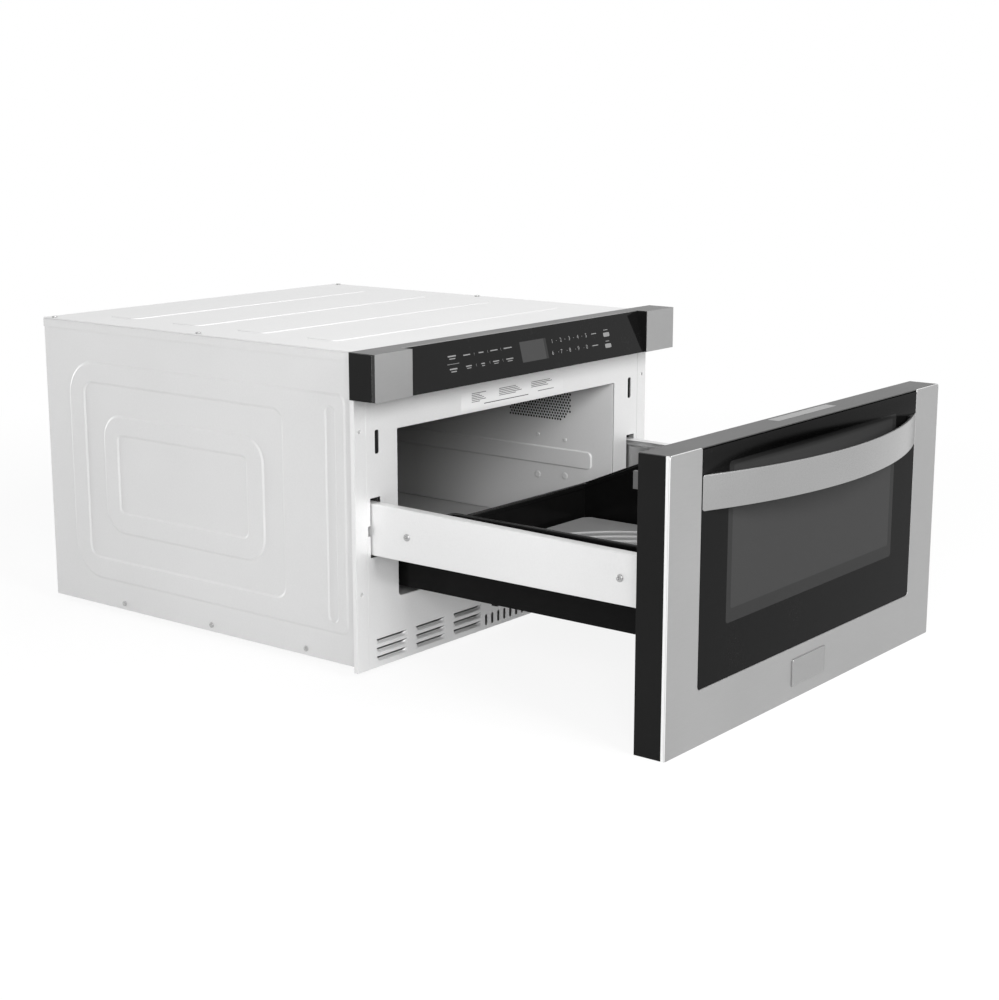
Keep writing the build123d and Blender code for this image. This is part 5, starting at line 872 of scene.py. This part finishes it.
def bowed_handle():
    """Cross-sections along X. Outer face y = c - sqrt(R^2 - x^2), inner face
    y = c - sqrt((R - 4)^2 - x^2) until the foot, then the door's face; round each section go
    four quarter circles."""
    big = (HANDLE_HALF**2 + HANDLE_REACH**2) / (2 * HANDLE_REACH)
    centre = DOOR_FACE + big - HANDLE_REACH
    ends = np.concatenate([np.linspace(0, 1.2, 12), np.linspace(1.6, 6, 10),
                           np.linspace(8, 22, 6), np.linspace(23, 32, 14)])
    x = np.concatenate([-HANDLE_HALF + ends, np.linspace(-205, 205, 60),
                        (HANDLE_HALF - ends)[::-1]])
    x = np.clip(x, -HANDLE_HALF + 0.4, HANDLE_HALF - 0.4)
    outer = centre - np.sqrt(big**2 - x**2)
    strap = centre - np.sqrt((big - STRAP)**2 - x**2)
    share = np.clip((np.abs(x) - (HANDLE_HALF - HANDLE_FOOT)) / FOOT_BEND + 0.5, 0, 1)
    inner_face = strap + (DOOR_FACE - strap) * soft_step(share)
    thick = np.maximum(inner_face - outer, 0.12)
    past = np.clip(np.abs(x) - (HANDLE_HALF - END_CORNER), 0, END_CORNER)
    half = HANDLE_HALF_HEIGHT - (END_CORNER - np.sqrt(END_CORNER**2 - past**2))
    radius = np.minimum(LONG_EDGE, thick * 0.45)
    quarter = np.linspace(0, np.pi / 2, 7)
    turn = np.concatenate([quarter + k * np.pi / 2 for k in range(4)])
    sign_out = np.repeat([1, -1, -1, 1], 7)
    sign_up = np.repeat([1, 1, -1, -1], 7)
    out = (thick / 2 - radius)[:, None] * sign_out + radius[:, None] * np.cos(turn)
    up = (half - radius)[:, None] * sign_up + radius[:, None] * np.sin(turn)
    y = ((inner_face + outer) / 2)[:, None] - out
    rings = np.stack([np.broadcast_to(x[:, None], y.shape), y, HANDLE_MIDDLE + up], axis=2) * MM
    count = len(turn)
    fan = np.stack([np.zeros(count - 2, int), np.arange(1, count - 1), np.arange(2, count)],
                   axis=1)
    caps = [(ring, faces, np.zeros(count - 2, bool))
            for ring, faces in ((rings[0], fan[:, ::-1]), (rings[-1], fan))]
    return welded(joined([band(list(rings))] + caps))


handle_steel = finish("handle_steel", 0.39, 1.0, 0.28, **BRUSHED, tone=0.05, edge=0.2, wear=0.6,
                      dust=0.05)
make_piece("bowed_handle", bowed_handle(), handle_steel, "drawer", ["handle_bar"])

# %% [markdown]
# ## Door frame and pane
# The door wears a folded steel skin, cut out in one piece round a black pane. The opening's lower
# corners are rounded, and at both ends and below the steel turns back over the black core. That
# fold, and the skin's faces that look up or down, are painted near-white: painted highlight.
# The top strip is painted near-black: painted shade. The pane stops a little under the top strip,
# which leaves a thin dark line.

# %% Door frame and pane
# Painted highlight: faces looking up, down or to the sides are painted near-white.
frame_steel = finish("door_steel_painted_edge_highlight", 0.36, 0.7, 0.34, **TRIM, wear=0.75, top=0.95,
                     sides=0.88)
# Painted shade: the top strip's steel is painted near-black.
shaded_trim = finish("shaded_steel_trim", 0.07, 0.5, 0.44, **BRUSHED, rough_spread=0.06,
                     edge=0.3, wear=0.5, wear_share=0.4, dust=0.03, Specular_IOR_Level=0.3)
OPENING_HALF, OPENING_LOW = 243, 52.5
FOLD_FRONT, FOLD_BACK = -712.85, -708.9

skin_outline = corners_rounded(
    [(-DOOR_HALF, DOOR_LOW), (DOOR_HALF, DOOR_LOW), (DOOR_HALF, DOOR_TOP),
     (OPENING_HALF, DOOR_TOP), (OPENING_HALF, OPENING_LOW), (-OPENING_HALF, OPENING_LOW),
     (-OPENING_HALF, DOOR_TOP), (-DOOR_HALF, DOOR_TOP)], [1.5, 1.5, 3, 2.4, 5, 5, 2.4, 3])
skin = sheet(front_plane(DOOR_FACE), skin_outline, 1.0, roll=0.8)
fold = sheet(right_plane(DOOR_HALF), rectangle(FOLD_FRONT, FOLD_BACK, DOOR_LOW, DOOR_TOP, 0.2),
             0.9, roll=0.05)
down_plane = ((0, 0, DOOR_LOW * MM), (1, 0, 0), (0, -1, 0))
fold_below = sheet(down_plane, rectangle(-302, 302, -FOLD_BACK, -FOLD_FRONT, 0.2), 0.9, roll=0.05)
make_piece("folded_door_skin", joined([skin, fold, mirrored(fold), fold_below]), frame_steel,
           "drawer", ["drawer_front_steel_frame"])
top_strip = sheet(top_plane(DOOR_TOP), rectangle(-302, 302, -713.2, DOOR_BACK, 0.4), 0.9, roll=0.3)
make_piece("door_top_strip", top_strip, shaded_trim, "drawer",
           ["drawer_front_top_trim"])
pane = sheet(front_plane(DOOR_FACE),
             rectangle(-242.6, 242.6, 52.9, 308.7, [4.8, 4.8, 0.6, 0.6]), 4.0, roll=0.5)
make_piece("door_pane", pane, door_pane, "drawer", ["drawer_front_glass"])

# %% [markdown]
# ## Badge plate
# A small plate stands low on the door. It is left bare: a sheet with a rounded edge and a field
# sunk a little inside its border.

# %% Badge plate
badge_steel = finish("badge_steel", 0.36, 0.9, 0.34, scale=300, tone=0.04, edge=0.35,
                     wear=0.75, wear_share=0.8, dust=0.05)
field = press(rectangle(-41.2, 29.2, 9.3, 35.7, 0.8), 0.9, -0.4)
badge = sheet(front_plane(-716.2), rectangle(-44, 32, 6.5, 38.5, 1.6), 0.4, [field], roll=1.4)
make_piece("bare_badge_plate", badge, badge_steel, "drawer", ["blank_badge"])

# %% [markdown]
# ## Arms
# Each arm that carries the drawer is a channel of thin sheet. Its top falls a little towards the
# door, so the pan's rim shows above it. One C-shaped outline is carried along the arm, and only
# its height changes on the way.

# %% Arms
ARM_LOW, ARM_SHEET = 137, 1.5


def arm_ring(top):
    """The C section: a web on the outer side, and both flanges turned in."""
    web = ARM_SIDE - ARM_SHEET
    points = [(ARM_SIDE, ARM_LOW), (ARM_SIDE, top), (ARM_INNER, top), (ARM_INNER, top - ARM_SHEET),
              (web, top - ARM_SHEET), (web, ARM_LOW + ARM_SHEET),
              (ARM_INNER, ARM_LOW + ARM_SHEET), (ARM_INNER, ARM_LOW)]
    return corners_rounded(points, [1.8, 1.8, 0.6, 0.6, 0.4, 0.4, 0.6, 0.6], 5)


stations = [(ARM_REAR, 199.5), (-300, 199), (DOOR_BACK, 193.2)]
arm_rings = [arm_ring(top) for y, top in stations]
arm_skin = band([lift(front_plane(y), ring, 0.0) for (y, top), ring in zip(stations, arm_rings)])
front_end = flat(front_plane(DOOR_BACK), arm_rings[-1], [], 0.0)
points, faces, smooth = flat(front_plane(ARM_REAR), arm_rings[0], [], 0.0)
rear_end = (points, faces[:, ::-1], smooth)
end_plate = sheet(((0, -674.3 * MM, 0), (-1, 0, 0), (0, 0, 1)),
                  rectangle(-266.9, -ARM_INNER, 138.6, 191.6, 0.5), 1.4, roll=0.2)
right_arm = joined([arm_skin, front_end, rear_end, end_plate])
for side, part in (("right", right_arm), ("left", mirrored(right_arm))):
    make_piece("tapered_" + side + "_arm", part, casing, "drawer",
               [side + "_drawer_arm"])

# %% [markdown]
# ## Rolled rim of the pan
# The pan's edge is rolled into a bead, which stiffens the sheet and catches a thin line of light
# all the way round. A circle is carried along the rim's path.

# %% Rolled rim
RIM_SIDE, RIM_HIGH, RIM_LOW, RIM_BEND, RIM_REAR = 211.9, 187.2, 138.4, -358, -242.2
RIM_POINTS = 14


def rolled_rim(radius=1.9, step=3.0):
    """Circles square to a path. The path is the rim's corner points joined, sampled evenly and
    smoothed by a running mean of five; each circle's axes are up, made square to the path, and
    their cross product."""
    right = [(RIM_SIDE, RIM_REAR, RIM_LOW), (RIM_SIDE, RIM_BEND, RIM_HIGH),
             (RIM_SIDE, DOOR_BACK, RIM_HIGH)]
    corners = np.array([(-x, y, z) for x, y, z in right[::-1]] + right)
    lengths = np.concatenate([[0], np.cumsum(np.linalg.norm(np.diff(corners, axis=0), axis=1))])
    along = np.linspace(0, lengths[-1], int(lengths[-1] / step))
    path = np.stack([np.interp(along, lengths, corners[:, k]) for k in range(3)], axis=1)
    padded = np.concatenate([path[:1]] * 2 + [path] + [path[-1:]] * 2)
    path = sum(padded[k:k + len(path)] for k in range(5)) / 5
    tangent = unit(np.gradient(path, axis=0))
    up = unit(np.array([0, 0, 1.0]) - tangent * tangent[:, 2:])
    side = np.cross(up, tangent)
    turn = full_turn(RIM_POINTS)[:, None]
    rings = path[:, None] + radius * (np.cos(turn) * side[:, None] + np.sin(turn) * up[:, None])
    start, end = (point * np.ones((RIM_POINTS, 1)) for point in (path[0], path[-1]))
    points, faces, smooth = welded(band([r * MM for r in [start, *rings, end]]))
    return points, faces[:, ::-1], smooth


rim_enamel = finish("rim_enamel", 0.006, 0.0, 0.22, scale=60, bump=0.02, tone=0.1, edge=0.2,
                    dust=0.0, Specular_IOR_Level=0.5)
make_piece("rolled_pan_rim", rolled_rim(), rim_enamel, "drawer")

# %% [markdown]
# ## Screws
# A pan-head screw is a surface of revolution with a cross pressed into it. The whole screw is one
# grid: rings from the tip of the thread to the middle of the head, and steps round the axis.

# %% Screws
THREAD_STEP, THREAD_DEPTH, SCREW_POINTS = 0.35, 0.14, 48


def screw(seat, outwards, head_radius, head_height, shank_radius, reach):
    """Radius and height per ring: a ridged shank, the head's flat underside, then a quarter
    ellipse. The recess depth is 0.55 head heights where the smaller of |a|, |b| is under a tenth
    of the head's width and the larger under a third, softened at its borders."""
    along = np.arange(-reach, 0.01, THREAD_STEP)
    shank = shank_radius - THREAD_DEPTH * (np.arange(len(along)) % 2)
    bend = np.linspace(0, np.pi / 2, 9)
    dome = np.linspace(0.25, np.pi / 2, 17)
    reach_out = np.concatenate([[0.02], shank, [head_radius * 0.93],
                                head_radius * (0.93 + 0.07 * np.sin(bend[::4])),
                                head_radius * np.cos(dome)])
    level = np.concatenate([[-reach], along, [0.0], head_height * 0.5 * bend[::4] / bend[-1],
                            head_height * (0.5 + 0.5 * np.sin(dome))])[:, None]
    turn = full_turn(SCREW_POINTS)
    a, b = reach_out[:, None] * np.cos(turn), reach_out[:, None] * np.sin(turn)
    narrow, wide = np.minimum(abs(a), abs(b)), np.maximum(abs(a), abs(b))
    cut = (np.clip((head_radius * 0.17 - narrow) / (head_radius * 0.08), 0, 1)
           * np.clip((head_radius * 0.62 - wide) / (head_radius * 0.2), 0, 1))
    height = level - 0.55 * head_height * cut * (level > head_height * 0.5)
    axis = np.asarray(outwards, float)
    first = np.array([axis[1], axis[2], axis[0]])
    second = np.cross(axis, first)
    points = (np.asarray(seat, float) + a[..., None] * first + b[..., None] * second
              + height[..., None] * axis) * MM
    tip, last = (ring.mean(axis=0, keepdims=True) * np.ones((SCREW_POINTS, 1))
                 for ring in (points[0], points[-1]))
    return welded(band([tip, *points, last]))


print("screw of", len(screw((0, 0, 0), (0, 0, 1), 3.6, 1.8, 1.6, 3.0)[1]), "triangles")

# %% Screws of the arms and of the casing
arm_seats = [((side * ARM_SIDE, y, 166.5), (side, 0, 0)) for side in (-1, 1)
             for y in (-632, -337)]
arm_screws = joined([screw(seat, out, 4.2, 2.4, 2.0, 6.0) for seat, out in arm_seats])
make_piece("arm_pan_screws", arm_screws, finishes["zinc_screw"], "drawer",
           ["arm_screws"])
case_seats = [((side * CASE_SIDE, y, 8.5), (side, 0, 0)) for side in (-1, 1)
              for y in (-183, -18.5, 146)]
case_seats += [((side * 272, y, COVER_TOP), (0, 0, 1)) for side in (-1, 1) for y in (-5, 269)]
case_screws = joined([screw(seat, out, 3.6, 1.8, 1.6, 3.0) for seat, out in case_seats])
make_piece("case_pan_screws", case_screws, finishes["zinc_screw"], "cabinet",
           ["cabinet_screws"])

# %% [markdown]
# ## Oven walls
# The cavity's sides carry a long rib that steadies them, small round dimples and two screws. A
# patch of small holes lets air and steam out: real holes in a thin sheet over a dark backing.

# %% Oven side walls
def wall_plane(x):
    """The right wall seen from inside: first axis towards the front, second up."""
    return ((x * MM, 0, 0), (0, -1, 0), (0, 0, 1))


VENT_ACROSS, VENT_UP, VENT_RADIUS = 4.6, 4.0, 1.65
vents = [hole(circle(106 + VENT_ACROSS * column + VENT_ACROSS / 2 * (row % 2),
                     222 + VENT_UP * row, VENT_RADIUS, 12), 0.12)
         for row in range(12) for column in range(min(23, 20 + row))]
dimples = [press(circle(y, z, 4.5, 24), 1.4, 0.8) for y, z in ((202, 143), (155, 140))]
rib = press(rectangle(-150, 247, 157, 181, 7, 8), 2.6, 1.6)
wall = sheet(wall_plane(WALL_SIDE), rectangle(-161, 281, 80, 280, 3), 0.4, vents + dimples + [rib],
             roll=0.3)
backing = sheet(wall_plane(WALL_SIDE + 0.6), rectangle(100, 216, 216, 272, 1), 0.25, roll=0.1)
# The cavity finish is painted darker towards the back and on faces that look up or down: painted
# shade.
cavity = finishes["cavity_enamel"]
make_piece("right_oven_wall", wall, cavity, "cabinet")
make_piece("left_oven_wall", mirrored(wall), cavity, "cabinet")
make_piece("vent_backings", joined([backing, mirrored(backing)]), finishes["black_sheet"],
           "cabinet")
wall_seats = [((side * WALL_SIDE, -y, z), (-side, 0, 0)) for side in (-1, 1)
              for y, z in ((155, 197), (202, 194))]
wall_screws = joined([screw(seat, out, 2.6, 1.2, 1.2, 0.8) for seat, out in wall_seats])
make_piece("oven_wall_screws", wall_screws, cavity, "cabinet")

# %% [markdown]
# ## Print on the control panel
# The panel's keys are only print under glass: numbers for the time, and short bars where a maker
# would put words, left plain here. Each is a thin raised shape on the leaning pane.

# %% The leaning pane
PANE_LOW, PANE_FRONT, PANE_RISE, PANE_RUN = 324.5, -319.0, 53.6, 13.6
LEAN = math.hypot(PANE_RUN, PANE_RISE)
panel_plane = ((0, PANE_FRONT * MM, PANE_LOW * MM), (1, 0, 0),
               (0, PANE_RUN / LEAN, PANE_RISE / LEAN))
panel_out = np.cross(panel_plane[1], panel_plane[2])


def up_panel(z):
    """Distance up the leaning pane of a height above the base, in millimetres."""
    return (z - PANE_LOW) * LEAN / PANE_RISE


def printed(loop):
    """A shape of ink 0.06 millimetres thick on the pane, closed all round."""
    return thickened(flat(panel_plane, loop, [], 0.07 * MM), -panel_out * 0.06 * MM)


def bar(x, z, width, height):
    """A rounded bar centred on x, z."""
    up = up_panel(z)
    return printed(rectangle(x - width / 2, x + width / 2, up - height / 2, up + height / 2,
                             height * 0.3, 3))


print("the pane leans by", round(math.degrees(math.atan2(PANE_RUN, PANE_RISE)), 1), "degrees")


# %% Numerals
def printed_number(text, x, z, size=7.4):
    """A numeral: a text curve made a mesh, then carried onto the pane."""
    curve = bpy.data.curves.new("numeral", "FONT")
    curve.body, curve.size, curve.align_x, curve.align_y = text, size * MM, "CENTER", "CENTER"
    curve.extrude = 0.03 * MM
    curve.resolution_u = 4
    carrier = linked("numeral", curve)
    mesh = bpy.data.meshes.new_from_object(
        carrier.evaluated_get(bpy.context.evaluated_depsgraph_get()))
    mesh.calc_loop_triangles()
    points = np.empty(len(mesh.vertices) * 3)
    mesh.vertices.foreach_get("co", points)
    points = points.reshape(-1, 3)
    faces = np.array([triangle.vertices[:] for triangle in mesh.loop_triangles])
    bpy.data.objects.remove(carrier)
    bpy.data.curves.remove(curve)
    bpy.data.meshes.remove(mesh)
    loop = points[:, :2] + np.array([x, up_panel(z)]) * MM
    placed = lift(panel_plane, loop, 0.0) + (points[:, 2:] + 0.04 * MM) * panel_out
    return placed, faces, np.zeros(len(faces), bool)


bpy.context.view_layer.update()
print("a numeral of", len(printed_number("8", 0, PANE_LOW)[1]), "triangles")

# %% Panel print
HIGH_ROW, LOW_ROW = 358, 343.8
ink = [printed_number(str(n + 1), 43 + 18.28 * n, HIGH_ROW) for n in range(5)]
ink += [printed_number(str((n + 6) % 10), 40.3 + 18.32 * n, LOW_ROW) for n in range(5)]
ink += [bar(52 + 18.3 * n, z, 0.9, 0.9) for n in range(4) for z in (HIGH_ROW, LOW_ROW)]
ink += [bar(*place) for place in ((-153.9, 360.4, 15, 1.6), (-153.9, 357.4, 11, 1.2),
                                  (-154, 351.4, 22, 0.45), (-155.2, 345.7, 14, 1.6),
                                  (-155.2, 342.7, 10, 1.2))]
for x, width in ((-126.5, 13), (-99.4, 9), (-74.4, 14), (-47.4, 16)):
    ink += [bar(x, 359.2, width, 1.3), bar(x, 346.2, width - 2, 1.3),
            bar(x, 343.7, 0.6 * width, 0.9)]
ink += [bar(x, z, 0.4, 3.0) for x in (-112.5, -86.5, -61) for z in (358.9, 345.9)]
ink += [bar(*place) for place in ((133, 358.6, 11, 1.2), (132, 343.9, 13, 1.2),
                                  (160.5, 360.9, 9, 0.9), (160, 346.6, 8, 0.9),
                                  (160.5, 355.0, 13.5, 5.4), (160.3, 340.8, 13.5, 5.4))]
pale_ink = finish("pale_ink", 0.27, 0.0, 0.4, scale=3000, bump=0.02, tone=0.03, edge=0.02)
make_piece("panel_print", joined(ink), pale_ink, "cabinet")

# %% [markdown]
# ## Rules on the rating label
# The label under the panel keeps its place and its columns, but holds only plain thin rules.

# %% Rules on the label
RULE_STEP = 2.1


def rule(left, right, z, height=0.8):
    """A thin bar of ink on the label, 0.05 millimetres thick."""
    loop = rectangle(left, right, z - height / 2, z + height / 2, height * 0.3, 2)
    return thickened(flat(front_plane(FACE - 0.2), loop, [], 0.06 * MM), (0, 0.05 * MM, 0))


columns = [(-84, 28, 6, 0), (-30, 46, 5, 3), (36, 44, 4, 5)]
rules = [rule(left, left + width - 4 * ((row * 7 + shift) % 4), 304.3 - RULE_STEP * row)
         for left, width, count, shift in columns for row in range(count)]
rules += [rule(-60, 30, 289.6, 1.0), rule(50, 84, 291.6)]
dark_ink = finish("dark_ink", 0.05, 0.0, 0.5, scale=3000, bump=0.02, tone=0.05, edge=0.02)
make_piece("label_rules", joined(rules), dark_ink, "cabinet")

# %% [markdown]
# ## Floor and light
# The drawer is lit as in a white studio: a pale floor, a white surround and large soft lamps. Two
# stand ahead, the second of them off to the left. One stands far behind on the left and low, so
# that it grazes the pressed side and draws its edges, and one hangs above. The white surround
# shows in steel and glass as well as behind the object. The floor keeps a soft shadow near the
# object and fades into the surround further out, so no horizon shows.

# %% Surround
FILL = 0.28


def seen_directly(tree):
    """1 for camera, glossy and transmission rays, 0 for others."""
    ray = put(tree, "LightPath").outputs
    most = maths(tree, "MAXIMUM", ray["Is Camera Ray"], ray["Is Glossy Ray"])
    return maths(tree, "MAXIMUM", most, ray["Is Transmission Ray"])


world = bpy.data.worlds.new("studio")
bpy.context.scene.world = world
tree = blank_tree(world)
fill, white = (put(tree, "Background", {"Color": grey(1.0), "Strength": strength}).outputs[0]
               for strength in (FILL, 1.0))
mix = put(tree, "MixShader", {0: seen_directly(tree), 1: fill, 2: white})
put(tree, "OutputWorld", {0: mix.outputs[0]})
print("fill", FILL)

# %% Floor
FADE_START, FADE_END, LEAST_GLOW = 0.8, 1.7, 0.88
FLOOR_HALF, FLOOR_LEVEL = 40000.0, -9.4
floor_material = bpy.data.materials.new("pale_floor")
tree = blank_tree(floor_material)
speckle = ranged(tree, noise(tree, own_place(tree), 90.0), 0.3, 0.7, 0.0, 1.0)
tint = blended(tree, speckle, grey(0.93), grey(0.95))
matt = put(tree, "BsdfDiffuse", {"Color": tint, "Roughness": 0.4})
glow = put(tree, "Emission", {"Color": grey(1.0), "Strength": 1.0})
away = vectors(tree, "LENGTH", own_place(tree))
share = times(tree, seen_directly(tree),
              ranged(tree, away, FADE_START, FADE_END, LEAST_GLOW, 1.0))
mix = put(tree, "MixShader", {0: share, 1: matt.outputs[0], 2: glow.outputs[0]})
put(tree, "OutputMaterial", {0: mix.outputs[0]})

square = np.array([(-1, -1), (1, -1), (1, 1), (-1, 1)]) * FLOOR_HALF * MM
points, faces, smooth = flat(top_plane(FLOOR_LEVEL), square, [], 0.0)
floor_mesh = bpy.data.meshes.new("floor")
floor_mesh.from_pydata(points.tolist(), [], faces.tolist())
floor_mesh.materials.append(floor_material)
floor = linked("floor", floor_mesh)
print("floor at", FLOOR_LEVEL, "mm")


# %% Lamps
def soft_lamp(name, place, target, size, power):
    """A square area lamp at a place, facing a target."""
    data = bpy.data.lights.new(name, "AREA")
    data.shape, data.size, data.energy = "SQUARE", size, power
    aimed(name, data, place, Vector(target) - Vector(place))


soft_lamp("front", (-0.5, -3.0, 1.6), (0, -0.3, 0.2), 1.4, 60)
soft_lamp("front_left", (-2.5, -2.1, 1.2), (0, -0.3, 0.2), 1.2, 50)
soft_lamp("rear_left", (-1.0, 4.6, 0.5), (-0.28, 0, 0.19), 1.0, 66)
soft_lamp("overhead", (0.9, 0.1, 2.6), (0, 0, 0.37), 1.6, 19)
print("four lamps")

# %% [markdown]
# ## The end
# The scene is brought up to date once more.

# %% Bring the scene up to date
bpy.context.view_layer.update()
